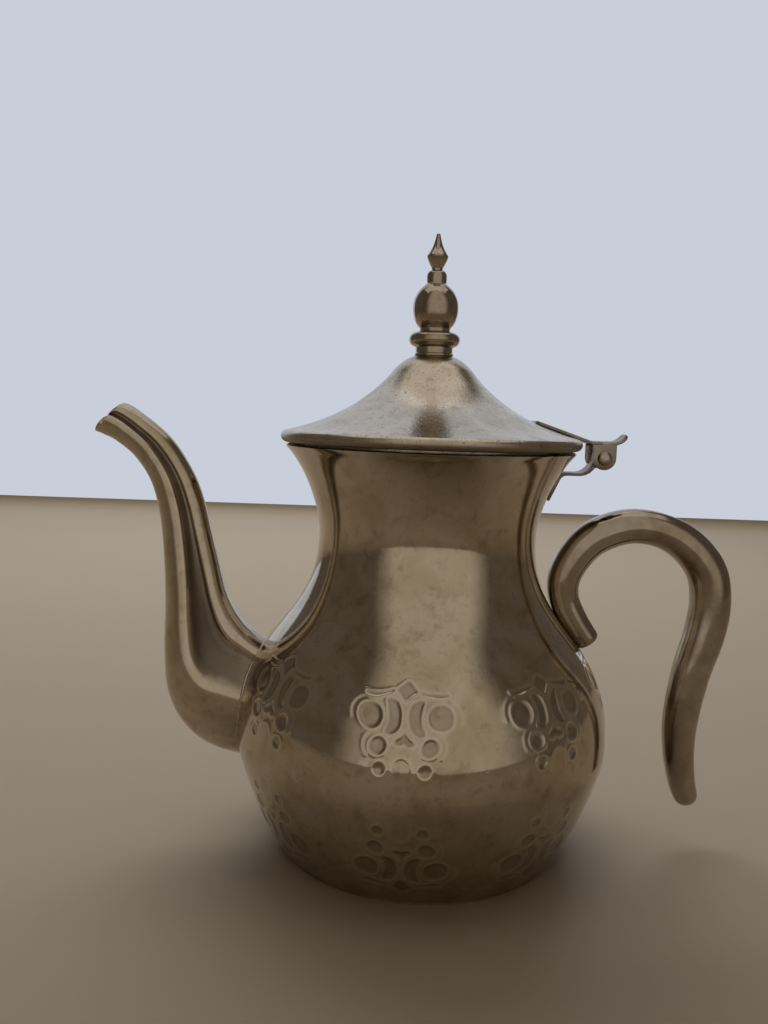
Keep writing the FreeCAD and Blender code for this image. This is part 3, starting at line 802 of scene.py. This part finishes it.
def spout_ring(station, wall=0.0, drawn_back=0.0):
    """Closed ring of points of the spout's section, its middle drawn back for the pouring mouth."""
    front_x, front_z, rear_x, rear_z, half_width, fluting, lobe_end, ridge_start = station
    front = np.array((front_x, front_z))
    chord = np.array((rear_x, rear_z)) - front
    depth = np.linalg.norm(chord)
    way = chord / depth
    back = np.array((way[1], -way[0]))
    half = []
    for mark, width in SPOUT_HALF:
        share = float(np.interp(mark, (0, LOBE_END, RIDGE_START, 1), (0, lobe_end, ridge_start, 1)))
        plain = math.sqrt(max(0.0, 1 - (2 * share - 1) ** 2))
        across = half_width * (plain + (width - plain) * fluting)
        moved = wall + share * (depth - 2 * wall)
        place = front + way * moved + back * drawn_back * 4 * share * (1 - share)
        half.append((place[0], max(0.0, across - wall), place[1]))
    other = [(x, -y, z) for x, y, z in half[-2:0:-1]]
    return half + other


def spout_root_line(wall=0.0):
    """Points where each line along the spout's outside, or along its inside, meets the body's wall."""
    stations = smooth_through(SPOUT_STATIONS[:ROOT_STATIONS], ROOT_STEPS)
    columns = np.array([spout_ring(station, wall) for station in stations])
    line = []
    for track in np.swapaxes(columns, 0, 1):
        outside = np.hypot(track[:, 0], track[:, 1]) - np.array([body_radius(p[2]) for p in track])
        first = int(np.argmax(outside > 0))
        share = outside[first - 1] / (outside[first - 1] - outside[first])
        line.append(track[first - 1] + (track[first] - track[first - 1]) * share)
    return line


def sunk_root(root):
    """Root line moved halfway into the body's wall."""
    shares = [1.0 - SHEET / 2 / math.hypot(p[0], p[1]) for p in root]
    return [(p[0] * share, p[1] * share, p[2]) for p, share in zip(root, shares)]


def outside_body(ring, root):
    """Ring whose points inside the body are drawn out to the spout's root."""
    return [p if math.hypot(p[0], p[1]) > body_radius(p[2]) else tuple(r) for p, r in zip(ring, root)]


def make_spout():
    """Fluted tube with an open beak, with painted shade in its flute, a darkened inside, and a painted
    highlight along the flute's two edges.
    """
    stations = smooth_through(SPOUT_STATIONS, STATION_STEPS)
    end = stations[-1]
    root = spout_root_line()
    inner_root = spout_root_line(SPOUT_WALL)
    outside = [outside_body(spout_ring(station), root) for station in stations[:-1]]
    outside += [spout_ring(end, wall, drawn_back) for wall, drawn_back in BEAK_LIP]
    inside = [outside_body(spout_ring(station, SPOUT_WALL), inner_root) for station in stations[-3::-3]]
    bm, hollows, highlight_rubs = marked_mesh("hollow", "rubbed_highlight")
    rows = ring_loft(bm, [sunk_root(root)] + outside + inside + [sunk_root(inner_root)], closed=True)
    marks = [mark for mark, width in SPOUT_HALF]
    marks += marks[-2:0:-1]
    # Painted shade in the flute and painted highlight on its edges, by place across the section
    painted_shade = np.interp(marks, *FLUTE_SHADE_SPREAD)
    shine = np.interp(marks, *FLUTE_EDGE_SHINE)
    for row, station in zip(rows[1:], stations[:-1] + [end] * len(BEAK_LIP)):
        fluting = station[FLUTING]
        shade_share = fluting * np.interp(station[FRONT_HEIGHT], *FLUTE_SHADE_HEIGHTS)
        for vert, dark, bright in zip(row, painted_shade * shade_share, shine * fluting):
            vert[hollows] = dark
            vert[highlight_rubs] = bright
    # The inside is darkened with the sunk colour
    for row in rows[1 + len(outside):]:
        for vert in row:
            vert[hollows] = INSIDE_DARKENING
    bmesh.ops.remove_doubles(bm, verts=bm.verts[:], dist=SPOUT_WELD)
    return finish_piece("fluted_spout", bm, "pot", spout_plating,
                        ["spout_left_half", "spout_right_half"], TUBE_CREASE)


def make_solder_seam():
    """Thin bead of solder all round the spout's root."""
    line = spout_root_line()
    line.append(line[0])
    line = at_runs(line, np.linspace(0, run_lengths(line)[-1], SEAM_STEPS + 1)[:-1])
    turns = [math.tau * side / SEAM_SIDES for side in range(SEAM_SIDES)]
    rings = []
    for k, place in enumerate(line):
        way = line[(k + 1) % SEAM_STEPS] - line[k - 1]
        way /= np.linalg.norm(way)
        out = np.array((place[0], place[1], 0.0)) / math.hypot(place[0], place[1])
        side = np.cross(way, out)
        reach = SEAM_RADIUS * sum((size * math.sin(pace * k) for size, pace in SEAM_RIPPLES), 1.0)
        rings.append([place + (out * math.cos(t) + side * math.sin(t)) * reach for t in turns])
    bm = bmesh.new()
    ring_loft(bm, rings, closed=True)
    return finish_piece("spout_solder_seam", bm, "pot", rivet_metal, crease=None)


make_spout()
make_solder_seam()


# Handle

HANDLE_WALL = 53.7
HANDLE_HEIGHT = 78.0
# Middle line of the handle, out and up from its place on the shoulder, and its thickness there
HANDLE_STATIONS = [
    (7.6, -3.2, 9.4), (1.9, 4.7, 10.2), (-2.2, 12.8, 11.0), (-2.6, 21.0, 12.0), (1.5, 29.8, 12.8),
    (8.2, 36.4, 13.2), (19.7, 40.5, 12.8), (31.3, 39.5, 12.7), (41.6, 34.2, 13.6), (49.3, 25.0, 14.4),
    (51.6, 13.5, 14.8), (50.2, 1.0, 14.7), (46.2, -14.5, 13.9), (43.8, -31.4, 12.8), (44.0, -43.8, 11.5),
    (45.9, -55.2, 10.0), (49.0, -64.2, 8.2),
]
HANDLE_SIDES = 36
HANDLE_FLATNESS = 0.95
# Shallow groove where the two pressed halves meet, as shares of the half thickness
HANDLE_SEAM_DEPTH = 0.018
HANDLE_SEAM_WIDTH = 0.07
# Rounded ends: length, least share of the thickness, and shares of the length where rings lie
ROOT_END = (2.0, 0.78, (0.02, 0.15, 0.4, 0.7, 1.0))
FREE_END = (3.6, 0.38, (1.0, 0.75, 0.5, 0.3, 0.14, 0.04))
# Plain stretch between them: its distances from the two ends, and its rings
HANDLE_STRETCH = (3.5, 5.0, 130)
HANDLE_LOOK_AHEAD = 0.6


def handle_ring(place, way, half):
    """Ring of the handle square to its middle line."""
    out = np.array((-way[1], way[0]))
    ring = []
    for side in range(HANDLE_SIDES):
        turn = math.tau * side / HANDLE_SIDES
        groove = HANDLE_SEAM_DEPTH * math.exp(-(math.sin(turn) / HANDLE_SEAM_WIDTH) ** 2)
        reach = half * (1.0 - groove)
        x, z = place + out * reach * math.cos(turn)
        ring.append((x, reach * HANDLE_FLATNESS * math.sin(turn), z))
    return ring


def rounded_end(share, least):
    """Share of the thickness at a share of a rounded end's length."""
    return least + (1 - least) * math.sqrt(1 - (1 - share) ** 2)


def make_handle():
    """Hollow scroll that tapers to a free lower end."""
    placed = [(HANDLE_WALL + out, HANDLE_HEIGHT + up, thick / 2) for out, up, thick in HANDLE_STATIONS]
    stations = smooth_through(placed, 10)
    line = np.array([station[:2] for station in stations])
    lengths = run_lengths(line)
    total = lengths[-1]
    root_length, root_least, root_shares = ROOT_END
    free_length, free_least, free_shares = FREE_END
    start, stop, count = HANDLE_STRETCH
    profile = [(root_length * share, rounded_end(share, root_least)) for share in root_shares]
    profile += [(run, 1.0) for run in np.linspace(start, total - stop, count)]
    profile += [(total - free_length * share, rounded_end(share, free_least)) for share in free_shares]
    runs, widths = np.array(profile).T
    ahead = at_runs(line, np.minimum(runs + HANDLE_LOOK_AHEAD, total))
    ways = ahead - at_runs(line, np.maximum(runs - HANDLE_LOOK_AHEAD, 0.0))
    ways /= np.linalg.norm(ways, axis=1)[:, None]
    halves = np.interp(runs, lengths, [station[2] for station in stations]) * widths
    bm = bmesh.new()
    ring_loft(bm, [handle_ring(*facts) for facts in zip(at_runs(line, runs), ways, halves)])
    return finish_piece("scroll_handle", bm, "pot", shaded_handle_plating,
                        ["handle_left_half", "handle_right_half"], TUBE_CREASE)


make_handle()


# Lid and finial

HEM_RISE = 0.4
HEM_WIDTH = 1.6
LID_RISE = 27.5
HEM = BODY_TOP + LID_GAP + HEM_RISE
HEM_RADIUS = RIM_RADIUS - BEAD - HEM_WIDTH
LID_BEAD = 2.1
BEAD_CENTRE = (RIM_RADIUS - LID_BEAD, HEM + LID_BEAD)
BEAD_ARC = (-90.0, 75.5)
BEAD_STEPS = 14
# Painted shade under the rolled edge, by angle round it
BEAD_SHADE = ((-25.0, 30.0), (1.3, 0.0))
LID_TOP = BODY_TOP + LID_GAP + 2 * BEAD + LID_RISE
LID_SHOULDER = (14.1, LID_TOP - 5.1)
LID_CROWN = (7.0, LID_TOP)
LID_HOLE = 2.2
LID_UNDER_CROWN = 5.0
# Ways that the lid's curve leaves its edge, its shoulder and its crown, and how far it follows each
EAVE_LEAN = (165.5, 16.9)
BELOW_SHOULDER_LEAN = (-51.0, 15.3)
ABOVE_SHOULDER_LEAN = (129.0, 1.5)
CROWN_LEAN = (-15.5, 3.2)


def lid_curve():
    """Rolled edge of the lid, and the curve from there to its crown."""
    bead = arc_points(BEAD_CENTRE, LID_BEAD, *BEAD_ARC, BEAD_STEPS)
    below_shoulder = turned_step(LID_SHOULDER, *BELOW_SHOULDER_LEAN)
    above_shoulder = turned_step(LID_SHOULDER, *ABOVE_SHOULDER_LEAN)
    rising = bezier(bead[-1], turned_step(bead[-1], *EAVE_LEAN), below_shoulder, LID_SHOULDER, 36)
    closing = bezier(LID_SHOULDER, above_shoulder, turned_step(LID_CROWN, *CROWN_LEAN), LID_CROWN, 12)
    return bead, rising + closing[1:]


def lid_outline():
    """Outline of the lid from its rolled edge to its top, then back down its underside."""
    bead, curve = lid_curve()
    outer = bead + as_pairs(curve[1:]) + [(LID_HOLE, LID_TOP)]
    top = [(LID_HOLE, LID_TOP - SHEET), (LID_UNDER_CROWN, LID_TOP - SHEET)]
    under = as_pairs(inset(curve, SHEET))[::-3]
    edge = arc_points(BEAD_CENTRE, LID_BEAD - SHEET, *BEAD_ARC[::-1], 10)
    return outer + top + under[1:] + edge + [(HEM_RADIUS, HEM + SHEET), (HEM_RADIUS, HEM)]


def lid_height(radius):
    """Height of the lid's outside at a radius."""
    radii, heights = zip(*lid_curve()[1][::-1])
    return float(np.interp(radius, radii, heights))


# The underside of the rolled edge takes painted shade
turned_piece("pointed_lid", lid_outline(), 224, lid_plating, "lid_shell",
             painted_shade=np.interp(np.linspace(*BEAD_ARC, BEAD_STEPS + 1), *BEAD_SHADE))

COLLAR_TOP = LID_TOP + 8.4
BALL_BOTTOM = COLLAR_TOP + 1.4
BALL_TOP = COLLAR_TOP + 21.6
FINIAL_BORE = 2.1
COLLAR_RING = 2.5
COLLAR_RING_RADIUS = 6.6
# Stretches of the outlines, each with heights from the lid's top, the collar's top or the ball's ends
COLLAR_FOOT = [
    (FINIAL_BORE, 0.0), (6.7, 0.0), (6.95, 0.2), (6.95, 0.8), (6.7, 1.0), (6.62, 1.2), (6.62, 3.1),
]
COLLAR_LIP = [(5.4, 0.0), (FINIAL_BORE, 0.0)]
BALL_FOOT = [(FINIAL_BORE, 0.0), (5.1, 0.0), (5.4, 0.3)]
BALL_SIDE = [
    (5.4, 0.0), (7.0, 2.0), (7.85, 4.6), (8.08, 7.2), (7.75, 9.8), (6.6, 12.4), (5.0, 14.3), (3.7, 15.4),
    (3.45, 15.8),
]
DRUM_FOOT = [(3.48, 16.2), (3.55, 17.0)]
DRUM_TOP = [(3.55, -1.9), (3.42, -1.2), (3.0, -0.5), (2.5, -0.15), (FINIAL_BORE, 0.0)]
SPIRE_FOOT = [(0.0, -5.0), (1.2, -5.0)]
SPIRE_SIDE = [
    (1.9, 0.0), (2.0, 0.8), (2.6, 1.9), (3.3, 3.3), (3.68, 4.4), (3.76, 4.9), (3.45, 5.5), (2.4, 7.2),
    (1.65, 8.8), (1.12, 10.5), (0.78, 11.9),
]
SPIRE_TIP = [(0.62, 12.6), (0.0, 12.8)]

collar_ring = arc_points((COLLAR_RING_RADIUS, COLLAR_TOP - COLLAR_RING), COLLAR_RING, -80.0, 80.0, 16)
collar = lifted(COLLAR_FOOT, LID_TOP) + collar_ring + lifted(COLLAR_LIP, COLLAR_TOP)
ball_side = as_pairs(smooth_through(lifted(BALL_SIDE, BALL_BOTTOM), 5))
ball = lifted(BALL_FOOT, COLLAR_TOP) + ball_side + lifted(DRUM_FOOT, BALL_BOTTOM) + lifted(DRUM_TOP, BALL_TOP)
spire_side = as_pairs(smooth_through(lifted(SPIRE_SIDE, BALL_TOP), 4))
spire = lifted(SPIRE_FOOT, BALL_TOP) + spire_side + lifted(SPIRE_TIP, BALL_TOP)
for name, outline, steps, node, closed in (
    ("finial_ring_collar", collar, 96, "finial_collar", True),
    ("finial_bulb", ball, 96, "finial_ball", True),
    ("finial_point", spire, 72, "finial_spire", False),
):
    turned_piece(name, outline, steps, finial_plating, node, closed)


# Hinge

STRIP_HALF_WIDTH = 5.0
STRIP_ROUNDING = 0.2
# How far a strip is let into the sheet that it is brazed to
STRIP_SINK = 0.1
EAR_GAP = 0.25
EAR_INNER = STRIP_HALF_WIDTH + EAR_GAP
EAR_OUTER = EAR_INNER + STRIP
EAR_RADIUS = 4.2
EAR_ROUNDING = 0.22
BRIDGE_RISE = 5.9
BRIDGE = PIN[1] + BRIDGE_RISE - STRIP / 2
# Neck strip: depths of its two ends below the mouth, drop of its shelf below the pin, bends and roll
NECK_STRIP_DEPTHS = (16.9, 8.3)
SHELF_DROP = 6.1
NECK_STRIP_BENDS = (3.0, 6.0)
ROLL_ARC = (172.0, -70.0)
# Strap on the lid: radius where it starts, where it bends and ends inside the pin, and its cut corners
STRAP_START = 37.0
STRAP_BEND = 4.6
STRAP_BEND_RADIUS = 3.0
STRAP_END = 1.0
STRAP_ROWS = 24
STRAP_CORNER = 1.2
STRAP_CORNER_ROWS = 1.5
# Channel over the roll: radius of its bends, the straight below them, and heights up its ears where rings lie
CHANNEL_BEND = 1.4
CHANNEL_STRAIGHT = 0.6
EAR_HEIGHTS = (0.05, 0.25, 0.6, 1.1, 1.8, 2.7, 3.4, 4.2)
# Thumb tab: its path beyond the ears, its half width and the length and share of its rounded end
TAB_START = 2.4
TAB_CURL = ((0.0, 0.0), (1.6, 0.4), (3.2, 1.5), (4.3, 3.0))
TAB_HALF_WIDTH = 4.25
TAB_END = (2.6, 0.75)
TAB_THICKNESS = STRIP * 1.15
TAB_ROUNDING = 0.25


def bent_line(corners, radii, steps=7):
    """Straight runs joined by round bends."""
    corners = [np.array(c, float) for c in corners]
    line = [corners[0]]
    for before, corner, after, radius in zip(corners, corners[1:], corners[2:], radii):
        back = (before - corner) / np.linalg.norm(before - corner)
        ahead = (after - corner) / np.linalg.norm(after - corner)
        half = math.acos(float(np.clip(back @ ahead, -1, 1))) / 2
        middle = corner + (back + ahead) / np.linalg.norm(back + ahead) * radius / math.sin(half)
        start = corner + back * radius / math.tan(half) - middle
        end = corner + ahead * radius / math.tan(half) - middle
        for step in range(steps + 1):
            way = start + (end - start) * step / steps
            line.append(middle + way / np.linalg.norm(way) * radius)
    line.append(corners[-1])
    return line


def strip_rings(path, half_widths, thickness):
    """Four-cornered rings of a bent strip whose middle follows a path in the XZ plane."""
    lower = inset(path, -thickness / 2)
    upper = inset(path, thickness / 2)
    return [[(a[0], -h, a[1]), (a[0], h, a[1]), (b[0], h, b[1]), (b[0], -h, b[1])]
            for a, b, h in zip(lower, upper, half_widths)]


def soften(bm, width, segments=2, angle=35.0):
    """Small rounding of the sharp edges of sheet metal."""
    bmesh.ops.recalc_face_normals(bm, faces=bm.faces[:])
    sharp = [e for e in bm.edges if len(e.link_faces) == 2 and e.calc_face_angle() > math.radians(angle)]
    bmesh.ops.bevel(bm, geom=sharp, offset=width, affect="EDGES", segments=segments, profile=0.5, material=-1,
                    clamp_overlap=True)


def sheet_bmesh(rings, rounding):
    """Bent sheet metal through rings, with its edges rounded."""
    bm = bmesh.new()
    ring_loft(bm, rings)
    soften(bm, rounding)
    return bm


def add_bmesh(bm, other):
    """Moves the faces of one bmesh into another."""
    mesh = bpy.data.meshes.new("joined")
    other.to_mesh(mesh)
    other.free()
    bm.from_mesh(mesh)
    bpy.data.meshes.remove(mesh)


def make_neck_strip():
    """Strip that lies on the neck, bends out into a shelf and up, and rolls round the pin."""
    heights = [BODY_TOP - depth for depth in NECK_STRIP_DEPTHS]
    low, high = [np.array((body_radius(height), height)) for height in heights]
    lean = (high - low) / np.linalg.norm(high - low)
    off = np.array((lean[1], -lean[0])) * (STRIP / 2 - STRIP_SINK)
    roll = PIN_RADIUS + PIN_CLEARANCE + STRIP / 2
    shelf = PIN[1] - SHELF_DROP
    turn_out = high + off + lean * ((shelf - high[1] - off[1]) / lean[1])
    corners = [low + off, turn_out, (PIN[0] - roll, shelf), (PIN[0] - roll, PIN[1])]
    path = as_pairs(bent_line(corners, NECK_STRIP_BENDS)) + arc_points(PIN, roll, *ROLL_ARC, 30)
    bm = sheet_bmesh(strip_rings(path, [STRIP_HALF_WIDTH] * len(path), STRIP), STRIP_ROUNDING)
    # The neck strip takes the darker copy of the strip metal: painted shade
    return finish_piece("neck_hinge_strip", bm, "pot", shaded_strip_metal, ["neck_hinge_leaf"])


def lid_strap():
    """Strap along the lid, with the corners of its free end cut."""
    start = (STRAP_START, lid_height(STRAP_START) + STRIP / 2 - STRIP_SINK)
    corners = [start, (PIN[0] - STRAP_BEND, BRIDGE), (PIN[0] - STRAP_END, BRIDGE)]
    path = bent_line(corners, [STRAP_BEND_RADIUS])
    path = as_pairs(at_runs(path, np.linspace(0, run_lengths(path)[-1], STRAP_ROWS)))
    halves = [EAR_OUTER - STRAP_CORNER * (1 - min(1.0, k / STRAP_CORNER_ROWS)) for k in range(STRAP_ROWS)]
    return sheet_bmesh(strip_rings(path, halves, STRIP), STRIP_ROUNDING)


def ear_channel():
    """Channel over the roll, with a round ear on each side for the rivet."""
    middle = (EAR_INNER + EAR_OUTER) / 2
    half_line = [(middle, PIN[1] - EAR_RADIUS + height) for height in EAR_HEIGHTS]
    half_line.append((middle, BRIDGE - CHANNEL_BEND - CHANNEL_STRAIGHT))
    half_line += arc_points((middle - CHANNEL_BEND, BRIDGE - CHANNEL_BEND), CHANNEL_BEND, 0.0, 90.0, 6)
    line = half_line + [(-y, z) for y, z in half_line[::-1]]
    rings = []
    for (y, z), inner, outer in zip(line, inset(line, STRIP / 2), inset(line, -STRIP / 2)):
        below = max(0.0, PIN[1] - z)
        reach = math.sqrt(EAR_RADIUS ** 2 - below ** 2)
        left, right = PIN[0] - reach, PIN[0] + reach
        rings.append([(left, *inner), (right, *inner), (right, *outer), (left, *outer)])
    return sheet_bmesh(rings, EAR_ROUNDING)


def thumb_tab():
    """Curled tab beyond the ears, rounded at its end."""
    curl = [(PIN[0] + EAR_RADIUS + out, BRIDGE + up) for out, up in TAB_CURL]
    path = smooth_through([(PIN[0] + TAB_START, BRIDGE)] + curl, 5)
    runs = run_lengths(path)
    length, share = TAB_END
    ends = [max(0.0, 1 - left / length) for left in runs[-1] - runs]
    halves = [TAB_HALF_WIDTH * math.sqrt(1 - end ** 2 * share) for end in ends]
    return sheet_bmesh(strip_rings(as_pairs(path), halves, TAB_THICKNESS), TAB_ROUNDING)


def make_lid_clip():
    """Strap along the lid, a channel with two round ears over the roll, and a curled thumb tab."""
    bm = lid_strap()
    add_bmesh(bm, ear_channel())
    add_bmesh(bm, thumb_tab())
    return finish_piece("lid_hinge_clip", bm, "lid", strip_metal, ["lid_hinge_leaf"])


RIVET_DOME = [(2.5, 0.0), (2.5, 0.25), (2.3, 0.75), (1.85, 1.15), (1.2, 1.4), (0.6, 1.49), (0.0, 1.5)]


def make_rivet():
    """Rivet through the ears, with a domed head at each end."""
    head = lifted(RIVET_DOME, EAR_OUTER)
    outline = [(r, -y) for r, y in head[::-1]] + [(PIN_RADIUS, -EAR_OUTER), (PIN_RADIUS, EAR_OUTER)] + head
    bm = bmesh.new()
    verts, edges = chain(bm, [(PIN[0] + r, y, PIN[1]) for r, y in outline])
    spin_full(bm, verts + edges, 40, centre=(PIN[0], 0, PIN[1]), axis=(0, 1, 0))
    return finish_piece("hinge_rivet", bm, "lid", rivet_metal, ["hinge_pin"])


make_neck_strip()
make_lid_clip()
make_rivet()


# Finishes of the CAD nodes that stay as they are

for node, finish in (
    ("base_plate", body_plating),
    ("lid_inner_collar", lid_plating),
    ("finial_stud", plain_steel),
    ("finial_washer", plain_steel),
    ("finial_nut", plain_steel),
):
    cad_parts[node].data.materials.clear()
    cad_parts[node].data.materials.append(finish)


# Studio, with places in metres and the lens in millimetres

FLOOR_FRONT = -0.52
FLOOR_SIDES = (-2.0, 1.6)
FLOOR_TONE = (0.38, 0.315, 0.235)
FLOOR_ROUGHNESS = 0.6
WALL_PLACE = 1.0
WALL_SIDES = (-0.9, 0.75)
WALL_TOP = 2.6
WALL_TONE = (0.58, 0.62, 0.70)
WALL_ROUGHNESS = 0.9
COVE = 0.015
# Surroundings: dim all round, with a pale panel turned a little to the right of the front.
# Stops are shares of a half turn aside from the panel's middle, and of the height from below to above.
ROOM_TONE = (0.12, 0.10, 0.08)
PANEL_TONE = (0.50, 0.455, 0.39)
PANEL_TURN = 5.0
PANEL_ASIDE = [(0.21, 1.0), (0.33, 0.0)]
PANEL_UPWARD = [(0.30, 0.0), (0.42, 1.0), (0.965, 1.0), (0.995, 0.0)]
CAMERA_PLACE = (-0.01594, -0.30817, 0.15542)
CAMERA_PITCH = 6.414
CAMERA_ROLL = 1.929
CAMERA_LENS = 29.88
CAMERA_SENSOR = 36.0


def matt_material(name, colour, rough):
    material = bpy.data.materials.new(name)
    material.use_nodes = True
    shader = material.node_tree.nodes["Principled BSDF"]
    shader.inputs["Base Color"].default_value = (*colour, 1)
    shader.inputs["Roughness"].default_value = rough
    return material


def seen_or_mirrored(tree):
    """One for what is seen straight or in polished metal, and nothing for light that falls on a surface."""
    path = put(tree, "ShaderNodeLightPath")
    seen = math_node(tree, "MAXIMUM", path.outputs["Is Camera Ray"], path.outputs["Is Glossy Ray"])
    return math_node(tree, "MAXIMUM", seen, path.outputs["Is Transmission Ray"])


def backdrop_material(name, colour, rough):
    """Matt wall that the camera and the polished metal see at its own pale colour."""
    material = matt_material(name, colour, rough)
    tree = material.node_tree
    glow = put(tree, "ShaderNodeEmission", Color=(*colour, 1), Strength=1.0)
    mixed = put(tree, "ShaderNodeMixShader")
    join(tree, seen_or_mirrored(tree), mixed.inputs["Fac"])
    join(tree, tree.nodes["Principled BSDF"].outputs[0], mixed.inputs[1])
    join(tree, glow.outputs[0], mixed.inputs[2])
    join(tree, mixed.outputs[0], tree.nodes["Material Output"].inputs["Surface"])
    return material


def make_stage():
    """Pale floor that runs up into a pale wall behind the pot."""
    cove = arc_points((WALL_PLACE - COVE, COVE), COVE, -90.0, 0.0, 6)
    outline = [(FLOOR_FRONT, 0.0)] + cove + [(WALL_PLACE, WALL_TOP)]
    bm = bmesh.new()
    edges = chain(bm, [(FLOOR_SIDES[0], y, z) for y, z in outline])[1]
    for side in (*WALL_SIDES, FLOOR_SIDES[1]):
        made = bmesh.ops.extrude_edge_only(bm, edges=edges)["geom"]
        fresh = set(fresh_verts(made))
        made_edges = [item for item in made if isinstance(item, bmesh.types.BMEdge)]
        edges = [edge for edge in made_edges if fresh.issuperset(edge.verts)]
        for vert in fresh:
            vert.co.x = side
    middles = [(face, face.calc_center_median()) for face in bm.faces]
    beside = [face for face, m in middles if m.z > COVE and not WALL_SIDES[0] < m.x < WALL_SIDES[1]]
    bmesh.ops.delete(bm, geom=beside, context="FACES")
    bmesh.ops.recalc_face_normals(bm, faces=bm.faces[:])
    for face in bm.faces:
        face.smooth = True
        face.material_index = int(face.calc_center_median().z > COVE)
    stage = link_mesh("floor_and_wall", bm)
    stage.data.materials.append(matt_material("pale_floor", FLOOR_TONE, FLOOR_ROUGHNESS))
    stage.data.materials.append(backdrop_material("pale_wall", WALL_TONE, WALL_ROUGHNESS))


def area_light(name, place, target, size, power, colour, shines=True):
    """Soft lamp, seen or not seen in the polished metal."""
    lamp = bpy.data.lights.new(name, "AREA")
    lamp.shape = "RECTANGLE"
    lamp.size, lamp.size_y = size
    lamp.energy = power
    lamp.color = colour
    light = bpy.data.objects.new(name, lamp)
    light.location = place
    light.rotation_euler = (Vector(target) - Vector(place)).to_track_quat("-Z", "Y").to_euler()
    light.visible_glossy = shines
    bpy.context.scene.collection.objects.link(light)


def make_room():
    """Dim warm surroundings with one soft pale panel in front of the pot."""
    world = bpy.data.worlds.new("room")
    world.use_nodes = True
    tree = world.node_tree
    way = put(tree, "ShaderNodeSeparateXYZ")
    join(tree, put(tree, "ShaderNodeTexCoord").outputs["Generated"], way.inputs[0])
    turn = math_node(tree, "ARCTAN2", way.outputs["X"], times(tree, way.outputs["Y"], -1.0))
    turn = math_node(tree, "SUBTRACT", turn, math.radians(PANEL_TURN))
    aside = math_node(tree, "DIVIDE", math_node(tree, "ABSOLUTE", turn), math.pi)
    height = plus(tree, times(tree, way.outputs["Z"], 0.5), 0.5)
    panel = times(tree, ramp(tree, aside, PANEL_ASIDE), ramp(tree, height, PANEL_UPWARD))
    colour = mix_colour(tree, times(tree, panel, seen_or_mirrored(tree)), ROOM_TONE, PANEL_TONE)
    join(tree, colour, tree.nodes["Background"].inputs["Color"])
    bpy.context.scene.world = world


def make_camera():
    """Camera at the photograph's place, a little above the lid's edge, tipped down and slightly rolled."""
    lens = bpy.data.cameras.new("camera")
    lens.sensor_width = CAMERA_SENSOR
    lens.lens = CAMERA_LENS
    lens.clip_start = 0.01
    camera = bpy.data.objects.new("camera", lens)
    pitch = Matrix.Rotation(math.radians(90 - CAMERA_PITCH), 4, "X")
    roll = Matrix.Rotation(math.radians(CAMERA_ROLL), 4, "Z")
    camera.matrix_world = Matrix.Translation(CAMERA_PLACE) @ pitch @ roll
    bpy.context.scene.collection.objects.link(camera)
    bpy.context.scene.camera = camera


make_stage()
make_camera()
area_light("overhead", place=(0.0, 0.2, 2.1), target=(0, 0.2, 0), size=(2.8, 1.5), power=7.6,
           colour=(1.0, 0.975, 0.94))
area_light("back_key", place=(-0.1, 0.85, 1.0), target=(0, 0.15, 0), size=(1.6, 0.5), power=12.0,
           colour=(1.0, 0.99, 0.97), shines=False)
make_room()
bpy.context.scene.view_settings.view_transform = "Standard"
